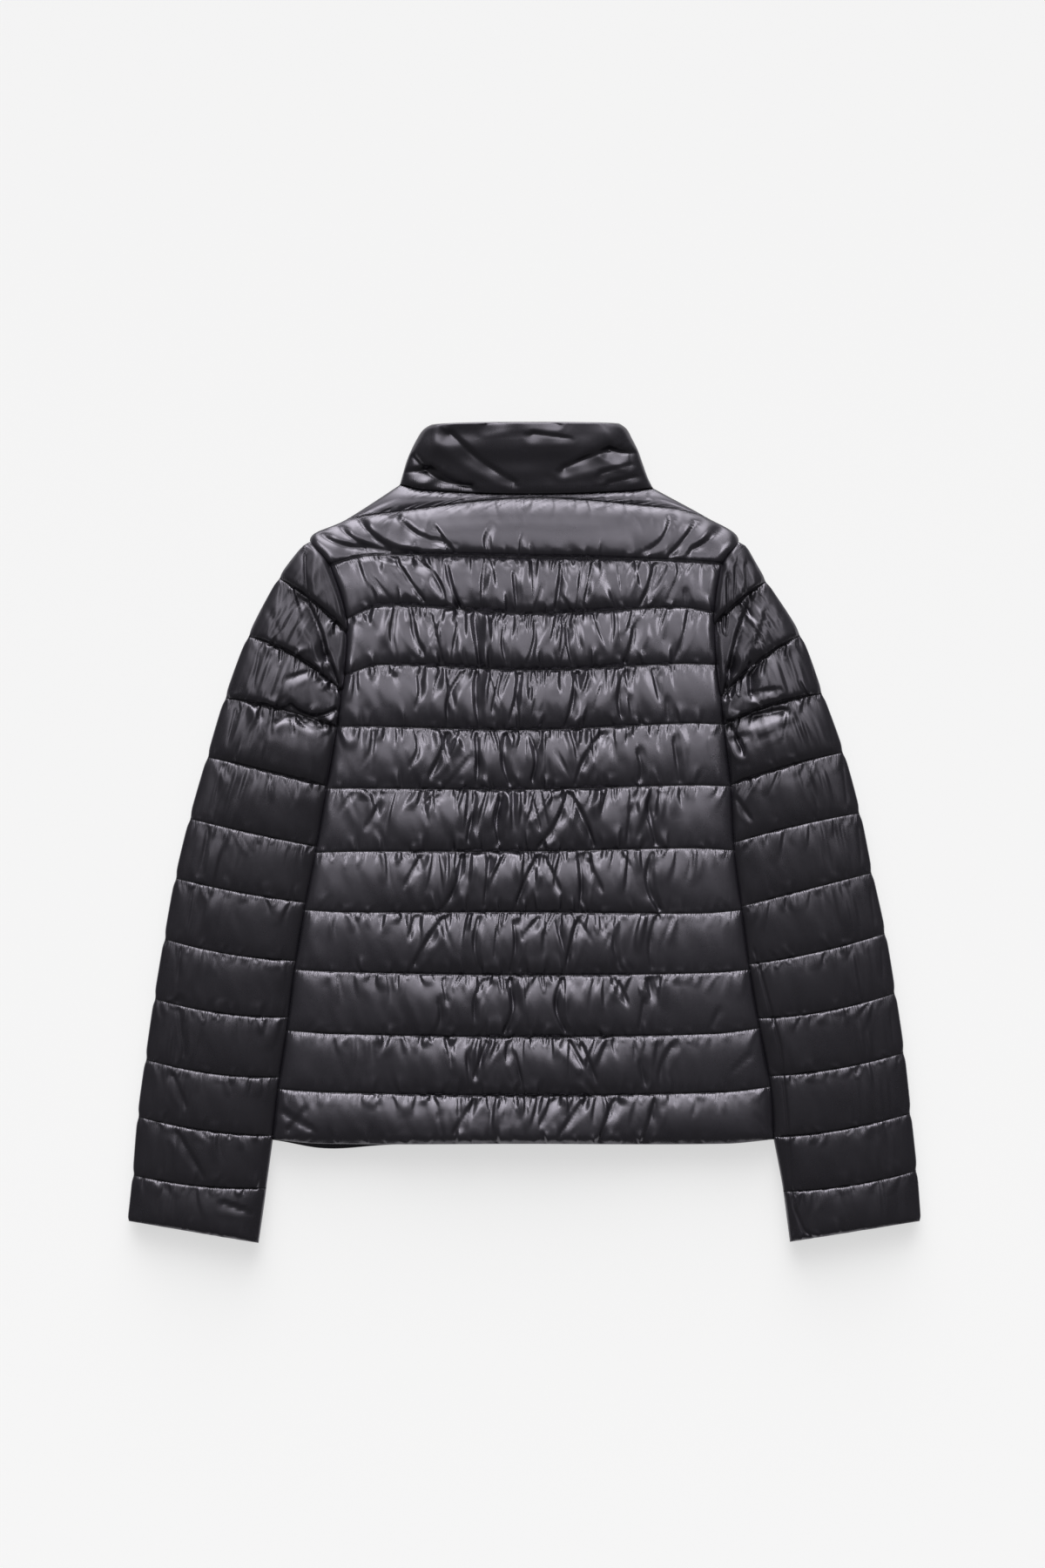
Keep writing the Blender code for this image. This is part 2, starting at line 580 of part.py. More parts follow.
def make_collar():
    """The stand collar, folded flat: its back half on top, its two ends below, meeting at the zip."""
    last = len(COLLAR) - 1
    steps = 2 * last
    outer_rows, inner_rows = [], []
    for step in range(steps + 1):
        place = last * step / steps
        left_x, left_y, centre_y, right_y, right_x = collar_edges(place)
        middle = (left_x + right_x) / 2
        half = (right_x - left_x) / 2
        top_distance = collar_edges(last)[2] - centre_y
        seam_distance = centre_y - COLLAR[0].centre_y
        ends = dipped(top_distance, COLLAR_TOP_ROUND, COLLAR_TOP_DIP)
        ends *= dipped(seam_distance, SEAM_ROUND, NECK_DIP)

        def plan_y(x, front):
            across = (x - middle) / half
            side_y = left_y if across < 0 else right_y
            height = centre_y + (side_y - centre_y) * abs(across) ** COLLAR_SMILE
            if step == 0:
                height = body_point(max(-1, min(1, across)), 0)[1] + NECK_SEAM_GAP
            return height - (neck_drop(x, 0) if front else 0)

        def point(x, front):
            edge = rounded(half - abs(x - middle), min(SIDE_ROUND, half)) * ends
            y = plan_y(x, front)
            if front:
                edge *= dipped(abs(x) - zip_half, ZIP_EDGE_ROUND, ZIP_EDGE_DIP)
                return x, y, FRONT_RISE - EDGE_RISE - (FRONT_RISE - EDGE_RISE) * edge
            height = EDGE_RISE + (COLLAR_RISE - EDGE_RISE) * edge
            height -= fold_depth(x, y, COLLAR_FOLDS) * edge
            return x, y, MID_Z + LAYER_GAP / 2 + max(height, EDGE_RISE)

        zip_half = ZIP_WIDTH / 2 + SEAM_GAP
        outer, inner = [], []
        squeeze = (half - WALL_AT_FOLD) / half

        def add(x, front, fold=False):
            px, py, pz = point(x, front)
            outer.append((px, py, MID_Z if fold else pz))
            inner_x = x if abs(x) <= zip_half + 0.01 else middle + (x - middle) * squeeze
            level = MID_Z if fold else (FRONT_RISE if front else MID_Z + LAYER_GAP / 2)
            inner.append((inner_x, py, level))

        for column in range(COLLAR_FRONT_COLUMNS):
            share = (1 - math.cos(math.pi * column / COLLAR_FRONT_COLUMNS)) / 2
            add(mix(-zip_half, left_x, share), True)
        for column in range(COLLAR_BACK_COLUMNS + 1):
            share = (1 - math.cos(math.pi * column / COLLAR_BACK_COLUMNS)) / 2
            share = 0.5 * share + 0.5 * column / COLLAR_BACK_COLUMNS
            add(mix(left_x, right_x, share), False, column in (0, COLLAR_BACK_COLUMNS))
        for column in range(COLLAR_FRONT_COLUMNS - 1, -1, -1):
            share = (1 - math.cos(math.pi * column / COLLAR_FRONT_COLUMNS)) / 2
            add(mix(zip_half, right_x, share), True)
        outer_rows.append(outer)
        inner_rows.append(inner)

    return two_faced("collar", outer_rows, inner_rows)


def two_faced(name, outer_rows, inner_rows):
    """A wall between two grids of points with the same rows and columns."""
    rows, columns = len(outer_rows), len(outer_rows[0])
    verts = [point for row in outer_rows + inner_rows for point in row]
    inner_start = rows * columns
    faces = []
    for r in range(rows - 1):
        for c in range(columns - 1):
            quad = (r * columns + c, r * columns + c + 1, (r + 1) * columns + c + 1, (r + 1) * columns + c)
            faces.append(quad)
            faces.append(tuple(inner_start + index for index in reversed(quad)))
    border = border_of(rows, columns)
    for n in range(len(border)):
        after = (n + 1) % len(border)
        faces.append((border[n], border[after], inner_start + border[after], inner_start + border[n]))
    return new_object(name, verts, faces, SHELL)


def front_collar_top():
    """Height of the top of the collar's two ends at the zip."""
    return COLLAR[-1].centre_y - FRONT_NECK_DROP


def make_zip():
    """Both tapes and the closed coil, as one strip between the two fronts."""
    half_tape, half_coil = ZIP_WIDTH / 2, ZIP_COIL_WIDTH / 2
    coil_z = ZIP_TAPE_Z - ZIP_COIL
    section = (
        (-half_tape, ZIP_TAPE_Z + ZIP_TAPE),
        (half_tape, ZIP_TAPE_Z + ZIP_TAPE),
        (half_tape, ZIP_TAPE_Z),
        (half_coil, ZIP_TAPE_Z),
        (half_coil, coil_z),
        (-half_coil, coil_z),
        (-half_coil, ZIP_TAPE_Z),
        (-half_tape, ZIP_TAPE_Z),
    )
    ends = (BODY[-1].centre_y + ZIP_SHORT_OF_EDGE, front_collar_top() - ZIP_SHORT_OF_EDGE)
    verts = [(x, y, z) for y in ends for x, z in section]
    count = len(section)
    faces = [tuple(range(count)), tuple(range(count, 2 * count))]
    faces += [(n, (n + 1) % count, count + (n + 1) % count, count + n) for n in range(count)]
    return new_object("zip", verts, faces, TAPE)


def box(name, low, high):
    """A plain box between two corners."""
    (x0, y0, z0), (x1, y1, z1) = low, high
    verts = [(x, y, z) for x in (x0, x1) for y in (y0, y1) for z in (z0, z1)]
    faces = [(0, 1, 3, 2), (4, 5, 7, 6), (0, 1, 5, 4), (2, 3, 7, 6), (0, 2, 6, 4), (1, 3, 7, 5)]
    return new_object(name, verts, faces, METAL)


def combine(target, tool, operation):
    """Joins the tool to the target, or cuts it away, and removes the tool."""
    modifier = target.modifiers.new(operation.lower(), "BOOLEAN")
    modifier.operation = operation
    modifier.solver = "EXACT"
    modifier.object = tool
    bpy.context.view_layer.objects.active = target
    bpy.ops.object.modifier_apply(modifier=modifier.name)
    bpy.data.objects.remove(tool)


def round_corners(target, width, segments=2):
    modifier = target.modifiers.new("rounding", "BEVEL")
    modifier.width = width * MM
    modifier.segments = segments
    modifier.limit_method = "ANGLE"
    bpy.context.view_layer.objects.active = target
    bpy.ops.object.modifier_apply(modifier=modifier.name)


def make_slider():
    """The slider: a plate over the coil, a flange down each side of it, and the loop that holds the tab."""
    y = front_collar_top() - SLIDER_BELOW_TOP
    half_coil, coil_z = ZIP_COIL_WIDTH / 2 + SEAM_GAP, ZIP_TAPE_Z - ZIP_COIL - SEAM_GAP
    half_width = half_coil + SLIDER_FLANGE
    low, high = y - SLIDER_LENGTH / 2, y + SLIDER_LENGTH / 2
    slider = box("zip_slider", (-half_width, low, SLIDER_PLATE_Z), (half_width, high, ZIP_TAPE_Z - SEAM_GAP))
    channel = box("channel", (-half_coil, low - 1, coil_z), (half_coil, high + 1, ZIP_TAPE_Z))
    combine(slider, channel, "DIFFERENCE")
    round_corners(slider, SLIDER_CORNER)
    leg = LOOP_TUNNEL / 2 + LOOP_BAR
    loop = box("loop", (-LOOP_WIDTH / 2, y - leg, LOOP_Z), (LOOP_WIDTH / 2, y + leg, SLIDER_PLATE_Z + 0.5))
    tunnel_low = (-LOOP_WIDTH, y - LOOP_TUNNEL / 2, LOOP_Z + LOOP_BAR)
    combine(loop, box("tunnel", tunnel_low, (LOOP_WIDTH, y + LOOP_TUNNEL / 2, SLIDER_PLATE_Z)), "DIFFERENCE")
    combine(slider, loop, "UNION")


def make_pull():
    """The pull tab, lying down the zip, with its crossbar through the slider's loop."""
    y = front_collar_top() - SLIDER_BELOW_TOP
    half_bar = PULL_THICKNESS / 2
    z0, z1 = HINGE_Z - half_bar, HINGE_Z + half_bar
    tip, top = y - PULL_LENGTH, y + half_bar
    half_top, half_tip = PULL_WIDTH_TOP / 2, PULL_WIDTH_TIP / 2
    outline = (
        (-half_top, top),
        (half_top, top),
        (half_tip, tip + PULL_TIP_CHAMFER),
        (half_tip - PULL_TIP_CHAMFER, tip),
        (PULL_TIP_CHAMFER - half_tip, tip),
        (-half_tip, tip + PULL_TIP_CHAMFER),
    )
    count = len(outline)
    verts = [(px, py, z) for z in (z0, z1) for px, py in outline]
    faces = [tuple(range(count)), tuple(range(count, 2 * count))]
    faces += [(n, (n + 1) % count, count + (n + 1) % count, count + n) for n in range(count)]
    pull = new_object("zip_pull", verts, faces, METAL, origin=(0, y, HINGE_Z))
    half_window, under_bar = PULL_WINDOW_WIDTH / 2, y - half_bar
    low, high = (-half_window, under_bar - PULL_WINDOW, z0 - 1), (half_window, under_bar, z1 + 1)
    combine(pull, box("window", low, high), "DIFFERENCE")
    round_corners(pull, PULL_CORNER)


clear_scene()
make_back()
make_front("front_left", -1)
make_front("front_right", 1)
make_sleeve("sleeve_left", LEFT_SLEEVE, -1)
make_sleeve("sleeve_right", RIGHT_SLEEVE, 1)
make_collar()
make_zip()
make_slider()
make_pull()
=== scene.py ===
import math

import bmesh
import bpy
import numpy as np
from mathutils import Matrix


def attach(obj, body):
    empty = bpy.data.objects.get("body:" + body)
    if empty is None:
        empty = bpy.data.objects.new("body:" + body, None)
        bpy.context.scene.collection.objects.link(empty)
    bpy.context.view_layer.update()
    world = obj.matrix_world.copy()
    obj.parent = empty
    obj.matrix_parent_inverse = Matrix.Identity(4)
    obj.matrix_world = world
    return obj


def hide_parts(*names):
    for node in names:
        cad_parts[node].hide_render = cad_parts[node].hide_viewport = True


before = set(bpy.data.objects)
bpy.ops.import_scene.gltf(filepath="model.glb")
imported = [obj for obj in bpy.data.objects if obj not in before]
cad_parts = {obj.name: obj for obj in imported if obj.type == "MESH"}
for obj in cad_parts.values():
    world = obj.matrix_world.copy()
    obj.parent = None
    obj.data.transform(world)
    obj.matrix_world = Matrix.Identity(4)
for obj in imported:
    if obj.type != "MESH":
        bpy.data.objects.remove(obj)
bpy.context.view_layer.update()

mm = 0.001

# How the garment lies: lengths in millimetres, heights above the floor
garment = {
    "midLevel": 12.0,  # the back layer lies on the front layer here
    "middle": -10.0,  # the back is fullest along this line
    "layerGap": 0.3,
    "seamGap": 0.35,
    "neckSeamGap": 0.45,
    "sleeveGap": 0.7,
    "edgeRise": 1.2,  # wall at the very edge of a rounded side
    "wallAtFold": 9.0,  # how far the inside of a sleeve stops short of its fold
    "sideRound": 24.0,
    "seamRound": 9.0,
    "hemRound": 9.0,
    "floorRound": 15.0,
    "thinnest": 0.5,  # least wall of a body panel
    "zipHalf": 4.85,
    "zipRound": 5.0,
    "neckDrop": 52.0,
    "dropReach": 170.0,
    "hemSag": 4.5,  # the front hem hangs out below the back one here
    "hemSagX": -175.0,
    "hemSagWidth": 38.0,
}
upperBase = garment["midLevel"] + garment["layerGap"] / 2
lowerBase = garment["midLevel"] - garment["layerGap"] / 2

# Lines across the body: x and y of the left end, y at four fifths of the way out, in the
# middle and on the right, y and x of the right end
bodyLines = (
    ("neck", -113, 315, 310, 306, 309, 312, 117),
    ("quilt0", -161, 284, 289, 303, 294, 287, 163),
    ("shoulder", -194, 267, 274, 283, 275, 267, 194),
    ("quilt1", -177, 242, 251, 249, 246, 243, 180),
    ("quilt2", -162, 193, 206, 198, 204, 199, 173),
    ("quilt3", -164, 142, 152, 147, 153, 152, 175),
    ("quilt4", -171, 96, 96, 93, 99, 98, 182),
    ("quilt5", -180, 40, 40, 39, 43, 42, 188),
    ("quilt6", -190, -18, -17, -17, -14, -16, 191),
    ("quilt7", -200, -70, -72, -72, -73, -70, 198),
    ("quilt8", -209, -124, -126, -129, -127, -124, 205),
    ("quilt9", -216, -179, -182, -185, -182, -177, 214),
    ("quilt10", -224, -232, -235, -238, -235, -230, 224),
    ("hem", -229, -278, -282, -282, -282, -278, 227),
)
shoulderRow, underarmRow = 2, 6  # top and bottom of the armhole
bodySeams = (0, 1, 3, 4, 5, 6, 7, 8, 9, 10, 11, 12, 13)  # rows that bound a padded channel

# Lines across a sleeve: x and y of the outer end, where the inner end lies beside the body
# (counted in rows of bodyLines) or its own x and y, and how far the middle is lifted
leftLines = (
    ("cap", -202, 259, 2.16, None, None, 0),
    ("quilt1", -223, 231, 4.25, None, None, 3),
    ("quilt2", -251, 178, 5.30, None, None, 7),
    ("quilt3", -272, 122, 6.00, None, None, 3),
    ("quilt4", -288, 69, 6.96, None, None, 0),
    ("quilt5", -304, 13, 7.90, None, None, -1),
    ("quilt6", -317, -41, 8.87, None, None, -2),
    ("quilt7", -327, -96, 9.85, None, None, -4),
    ("quilt8", -336, -150, 10.78, None, None, -5),
    ("quilt9", -344, -205, 11.79, None, None, -5),
    ("quilt10", -351, -257, 12.87, None, None, -4),
    ("quilt11", -355.5, -310, None, -234, -322, -4),
    ("cuff", -360, -352, None, -241, -372, 0),
)
rightLines = (
    ("cap", 202, 259, 2.16, None, None, 0),
    ("quilt1", 220, 228, 4.25, None, None, 2),
    ("quilt2", 251, 179, 5.55, None, None, 5),
    ("quilt3", 271, 126, 6.00, None, None, 4),
    ("quilt4", 290, 73, 6.98, None, None, 2),
    ("quilt5", 305, 18, 7.88, None, None, 2),
    ("quilt6", 316, -36, 8.94, None, None, 0),
    ("quilt7", 328, -91, 9.91, None, None, -3),
    ("quilt8", 337, -145, 10.83, None, None, -5),
    ("quilt9", 345, -199, 11.81, None, None, -4),
    ("quilt10", 351, -254, 12.91, None, None, -4),
    ("quilt11", 356.5, -306, None, 235, -325, -4),
    ("cuff", 360, -352, None, 241, -371, 0),
)

# Heights of the collar, from the neck seam to the top fold
collarLines = (
    ("seam", -113, 315, 306, 312, 117),
    ("low", -110.5, 324, 318, 322, 112),
    ("fold", -107, 336, 332, 336, 107),
    ("middle", -103, 346, 344, 347, 103),
    ("upper", -98, 356, 356, 357, 98),
    ("high", -92, 365, 366, 366, 93),
    ("top", -84, 370, 372, 371, 86),
)

# Folds in the cloth: from x, y to x, y, how far the middle bows aside, and the kind: 1 fine to
# 4 strong, and 5 wide and soft
backFolds = (
    (-150, 281, -96, 252, 8, 5), (-189, 271, -146, 257, 4, 5), (-170, 277, -121, 254, 6, 5),
    (178, 274, 152, 256, -3, 5), (-116, 284, -74, 262, 5, 5), (-81, 275, -61, 250, 0, 2),
    (-32, 272, -32, 251, 3, 2), (-2, 267, -4, 251, 0, 1), (133, 283, 105, 252, -6, 2),
    (156, 279, 131, 250, -1, 3), (175, 277, 156, 258, 0, 1), (-140, 234, -120, 210, 0, 1),
    (-116, 246, -91, 210, 1, 3), (-93, 243, -73, 216, -3, 3), (-71, 244, -57, 200, 2, 3),
    (-35, 246, -38, 202, 1, 2), (-9, 234, -6, 199, 0, 2), (8, 246, 9, 210, 0, 1),
    (16, 222, 8, 198, 0, 1), (34, 243, 28, 202, -1, 3), (63, 246, 55, 210, 0, 2),
    (51, 230, 47, 198, 0, 1), (85, 242, 88, 218, 0, 1), (101, 246, 105, 226, 0, 2),
    (119, 243, 103, 202, -2, 3), (129, 243, 117, 222, 0, 2), (142, 238, 129, 210, 0, 1),
    (145, 218, 146, 205, 0, 1), (-122, 186, -116, 159, 0, 1), (-102, 196, -91, 163, 3, 3),
    (-85, 196, -74, 155, 0, 2), (-59, 190, -65, 159, 0, 2), (-45, 193, -40, 149, 0, 3),
    (-17, 190, -16, 153, 3, 2), (-4, 190, -6, 175, 0, 1), (10, 190, 2, 153, -3, 2),
    (38, 186, 44, 149, 1, 2), (46, 190, 51, 167, 0, 1), (40, 182, 33, 151, 0, 1),
    (100, 186, 91, 155, -2, 3), (149, 202, 137, 159, -2, 2), (-96, 143, -98, 114, -3, 2),
    (-75, 147, -82, 126, 0, 2), (-57, 143, -69, 98, 5, 3), (-43, 143, -40, 93, 2, 3),
    (-21, 143, -29, 111, 0, 2), (-5, 143, -13, 103, -2, 2), (-8, 131, -6, 96, 0, 1),
    (10, 143, 5, 123, 0, 2), (14, 139, 6, 100, 0, 1), (46, 143, 37, 96, -3, 3),
    (62, 145, 52, 123, 0, 2), (70, 131, 62, 111, 0, 1), (91, 143, 87, 106, 3, 3),
    (95, 121, 99, 95, 0, 1), (117, 147, 122, 123, 0, 2), (134, 147, 136, 131, 0, 1),
    (129, 119, 130, 93, 0, 1), (-136, 92, -148, 60, -3, 1), (-98, 90, -104, 60, -5, 2),
    (-69, 90, -85, 52, -2, 3), (-49, 68, -69, 44, 0, 1), (-43, 89, -43, 40, -1, 3),
    (-17, 88, -13, 44, 4, 3), (5, 88, 7, 48, -5, 3), (14, 90, 9, 74, 0, 1),
    (30, 72, 40, 52, 0, 1), (70, 88, 46, 44, 3, 3), (75, 88, 70, 77, 0, 1),
    (103, 72, 101, 40, -4, 2), (123, 92, 122, 76, 0, 1), (136, 84, 141, 40, 0, 2),
    (-156, 35, -167, 19, 0, 1), (-128, 35, -144, 5, -2, 2), (-104, 35, -112, 22, 0, 1),
    (-77, 32, -88, 11, 9, 2), (-43, 35, -51, -7, 0, 3), (-21, 28, -23, -7, 3, 3),
    (6, 32, 14, 5, 0, 2), (40, 36, 13, -13, -4, 3), (43, 32, 63, -11, -1, 3),
    (99, 35, 101, 22, 0, 1), (97, 21, 93, -7, 0, 2), (122, 35, 118, 17, 0, 2),
    (112, 27, 121, -15, 1, 3), (141, 35, 143, 24, 0, 1), (-94, -23, -108, -47, 0, 2),
    (-57, -23, -75, -70, -5, 3), (-31, -23, -36, -66, 0, 2), (12, -23, -6, -62, 1, 3),
    (18, -23, 32, -51, 0, 2), (50, -21, 50, -70, -2, 3), (58, -27, 70, -51, 0, 2),
    (88, -19, 97, -31, 0, 1), (117, -17, 122, -70, 8, 3), (-98, -76, -104, -94, 0, 2),
    (-73, -78, -99, -118, 1, 3), (-41, -78, -41, -122, 4, 2), (-24, -86, -27, -110, 0, 1),
    (-9, -82, -13, -126, -3, 2), (13, -78, -2, -94, 0, 2), (30, -82, 38, -114, 0, 2),
    (50, -78, 38, -122, 1, 3), (50, -82, 62, -98, 0, 1), (70, -78, 75, -94, 0, 1),
    (85, -78, 87, -123, 5, 2), (121, -74, 115, -122, 4, 2), (-73, -134, -70, -153, 0, 2),
    (-77, -153, -82, -181, -4, 2), (-36, -134, -45, -169, 4, 2), (-15, -135, -19, -181, -7, 3),
    (1, -134, 2, -153, 0, 1), (34, -134, 38, -181, 7, 3), (85, -137, 93, -153, 0, 2),
    (113, -134, 115, -148, 0, 3), (109, -153, 104, -177, 0, 2), (176, -161, 168, -177, 0, 1),
    (-69, -187, -66, -209, 0, 2), (-51, -201, -49, -232, 0, 2), (-33, -190, -45, -220, 0, 3),
    (-15, -189, -16, -205, 0, 2), (-9, -201, -2, -228, 0, 2), (40, -189, 52, -209, 0, 3),
    (52, -193, 65, -224, 0, 2), (80, -189, 83, -201, 0, 1), (100, -189, 100, -205, 0, 1),
    (105, -209, 109, -228, 0, 2), (134, -193, 122, -232, 4, 2), (204, -201, 188, -216, 0, 1),
    (-45, -242, -63, -270, 0, 2), (-78, -256, -73, -278, 0, 1), (-17, -242, -18, -256, 0, 1),
    (26, -242, 14, -264, 0, 2), (52, -244, 30, -276, 0, 2), (81, -244, 68, -278, 0, 3),
    (118, -244, 107, -280, -1, 3), (156, -242, 152, -256, 0, 1), (-219, -252, -190, -269, 0, 2),
    (-213, -269, -199, -250, 0, 2),
)
sleeveFolds = (
    (-198, 251, -195, 210, 1, 2), (-198, 209, -179, 159, -2, 4), (-179, 159, -169, 135, 0, 4),
    (-215, 139, -191, 147, 0, 2), (-211, 114, -171, 111, 8, 4), (-207, 106, -172, 101, 10, 2),
    (-223, 100, -209, 93, -8, 2), (-314, -153, -308, -201, 0, 2), (-318, -220, -306, -248, 0, 2),
    (-314, -272, -290, -311, 0, 2), (-272, -335, -246, -344, 0, 2), (-239, 167, -245, 131, 0, 1),
    (-261, 111, -269, 80, 0, 1), (-274, 60, -281, 24, 0, 1), (-286, 5, -292, -31, 0, 1),
    (-300, -51, -305, -82, 0, 1), (-311, -106, -315, -141, 0, 1), (-231, 202, -221, 180, 0, 1),
    (201, 242, 202, 214, 0, 2), (184, 230, 184, 202, 0, 2), (192, 242, 190, 210, 0, 2),
    (206, 210, 186, 147, 2, 4), (186, 147, 182, 127, 0, 4), (220, 202, 210, 171, 0, 2),
    (226, 198, 221, 182, 0, 1), (205, 152, 205, 126, 0, 4), (205, 126, 231, 130, 0, 2),
    (208, 106, 235, 111, 0, 4), (184, 99, 197, 75, 0, 4), (188, 84, 202, 88, 0, 2),
    (192, 30, 205, 13, 0, 2), (212, 84, 248, 101, 0, 1), (259, 171, 264, 135, 0, 1),
    (275, 111, 279, 84, 0, 1), (289, 60, 292, 28, 0, 1), (303, 5, 305, -27, 0, 1),
    (314, -51, 317, -82, 0, 1), (324, -106, 325, -137, 0, 1), (332, -161, 334, -189, 0, 1),
    (235, 210, 230, 190, 0, 1),
)
collarFolds = (
    (-110, 326, -85, 329, 1, 3), (-85, 329, -49, 313, 2, 2), (-100, 339, -48, 314, 8, 3),
    (-67, 360, -9, 317, 3, 2), (105, 344, 77, 346, -2, 3), (77, 346, 36, 330, 0, 3),
    (-33, 369, 30, 369, -2, 1), (70, 325, 97, 333, 0, 1), (77, 316, 101, 322, 0, 1),
    (8, 360, 42, 356, 0, 1),
)

# Depth and half width of each kind of fold
foldSizes = {1: (1.3, 1.1), 2: (2.3, 1.5), 3: (3.3, 1.9), 4: (5.0, 2.6), 5: (3.4, 3.4)}

# How a fold is shaped across, counted in half widths
foldShape = {
    "reach": 6.0,  # no fold reaches further than this
    "startWidth": 1.15,  # wider where it leaves the stitches
    "narrowing": 0.5,
    "steep": 1.1,
    "gentle": 3.0,
    "gentleShare": 0.8,
    "lip": 0.2,
    "lipPlace": 5.0,
    "lipWidth": 2.0,
    "wavering": 0.2,
}


def column(lines, number):
    return [line[number] for line in lines]


def throughRows(values, places):
    # a smooth curve through evenly spaced rows, read at many places
    values = np.asarray(values, float)
    last = len(values) - 1
    places = np.clip(np.asarray(places, float), 0, last)
    row = np.minimum(places.astype(int), last - 1)
    t = (places - row).reshape((-1,) + (1,) * (values.ndim - 1))
    before, after = values[np.maximum(row - 1, 0)], values[np.minimum(row + 2, last)]
    b, c = values[row], values[row + 1]
    return (
        (2 * t**3 - 3 * t**2 + 1) * b
        + (t**3 - 2 * t**2 + t) * (c - before) / 2
        + (3 * t**2 - 2 * t**3) * c
        + (t**3 - t**2) * (after - b) / 2
    )


def acrossWeights(across):
    # shares of the five heights of a body line at each place across it
    stops = np.array((-1.0, -0.8, 0.0, 0.8, 1.0))
    part = np.clip(np.searchsorted(stops, across, side="right") - 1, 0, 3)
    width = stops[part + 1] - stops[part]
    t = (across - stops[part]) / width
    weights = np.zeros((5, len(across)))
    here = np.arange(len(across))
    for stop, value, slope in (
        (part, 2 * t**3 - 3 * t**2 + 1, t**3 - 2 * t**2 + t),
        (part + 1, 3 * t**2 - 2 * t**3, t**3 - t**2),
    ):
        weights[stop, here] += value
        low, high = np.maximum(stop - 1, 0), np.minimum(stop + 1, 4)
        pull = slope * width / (stops[high] - stops[low])
        weights[high, here] += pull
        weights[low, here] -= pull
    return weights


def rounded(distance, reach):
    short = 1 - np.clip(distance / reach, 0, 1)
    return np.sqrt(1 - short * short)


def dipped(distance, reach, left):
    return left + (1 - left) * rounded(distance, reach)


def easeIn(value):
    value = np.clip(value, 0, 1)
    return value * value * (3 - 2 * value)


def bell(distance, width):
    # 1 at no distance, and next to nothing past twice the width
    return np.exp(-((distance / width) ** 2))


def toLine(x, y, points):
    # distance to the nearest of the straight runs between these points
    found = np.full(np.shape(x), np.inf)
    for start, end in zip(points, points[1:]):
        dx, dy = end[0] - start[0], end[1] - start[1]
        px, py = x - start[0], y - start[1]
        along = np.clip((px * dx + py * dy) / (dx * dx + dy * dy), 0, 1)
        found = np.minimum(found, np.hypot(px - along * dx, py - along * dy))
    return found


def drift(x, y, size, seed):
    # smooth unevenness from -1 to 1 over the plane, with lumps of about this size
    rng = np.random.default_rng(seed)
    cells = 64
    table = rng.uniform(-1, 1, (cells, cells))
    u, v = x / size + 1000, y / size + 1000
    i, j = np.floor(u).astype(int), np.floor(v).astype(int)
    s, t = easeIn(u - i), easeIn(v - j)

    def row(b):
        k = (j + b) % cells
        return table[i % cells, k] * (1 - s) + table[(i + 1) % cells, k] * s

    return row(0) * (1 - t) + row(1) * t


def creases(x, y, folds, widen=1.0):
    # how far the folds sink the cloth: each drops steeply on its upper side, and rises slowly, past
    # a thin lip, on the other
    depth = np.zeros(np.shape(x))
    for x0, y0, x1, y1, bow, kind in folds:
        deep, half = foldSizes[kind]
        half *= widen
        reach = foldShape["reach"] * half + abs(bow)
        near = (
            (x > min(x0, x1) - reach) & (x < max(x0, x1) + reach)
            & (y > min(y0, y1) - reach) & (y < max(y0, y1) + reach)
        )
        if not near.any():
            continue
        dx, dy = x1 - x0, y1 - y0
        length = math.hypot(dx, dy)
        openSide = -1 if dx > 0.25 * abs(dy) else 1
        px, py = x[near] - x0, y[near] - y0
        along = (px * dx + py * dy) / length**2
        t = np.clip(along, 0, 1)
        side = (py * dx - px * dy) / length + bow * np.sin(np.pi * t)
        width = half * (foldShape["startWidth"] - foldShape["narrowing"] * t)
        away = np.hypot(side, (along - t) * length) / width
        steep = bell(away, foldShape["steep"])
        lip = foldShape["lip"] * bell(away - foldShape["lipPlace"], foldShape["lipWidth"])
        gentle = foldShape["gentleShare"] * np.exp(-away / foldShape["gentle"]) - lip
        share = easeIn(0.5 + side * openSide / half)
        waver = foldShape["wavering"] * np.sin(x0 + t * length / 4)
        uneven = 1 - (0.7 - 0.2 * kind) * t * t + waver  # the finer, the sooner it runs out
        depth[near] += deep * uneven * (steep + (gentle - steep) * share)
    return depth


def bodyEdge(side, places):
    names = (1, 2) if side < 0 else (7, 6)
    return tuple(throughRows(column(bodyLines, n), np.atleast_1d(places)) for n in names)


def bodyPlan(across, places):
    # x and y over the body, a row for each place and a column for each share of the way across
    left, right = bodyEdge(-1, places)[0], bodyEdge(1, places)[0]
    x = left[:, None] + (right - left)[:, None] * (across + 1)[None, :] / 2
    heights = np.stack([throughRows(column(bodyLines, n), places) for n in range(2, 7)], axis=1)
    return x, heights @ acrossWeights(across)


def edgeRun(side, first, last):
    return list(zip(*bodyEdge(side, np.linspace(first, last, round((last - first) * 8) + 1))))


bodyEnd = len(bodyLines) - 1
openRows = ((0, shoulderRow), (underarmRow, bodyEnd))
openEdges = [edgeRun(side, *rows) for side in (-1, 1) for rows in openRows]
armholes = [edgeRun(side, shoulderRow, underarmRow) for side in (-1, 1)]
print("measures ready")

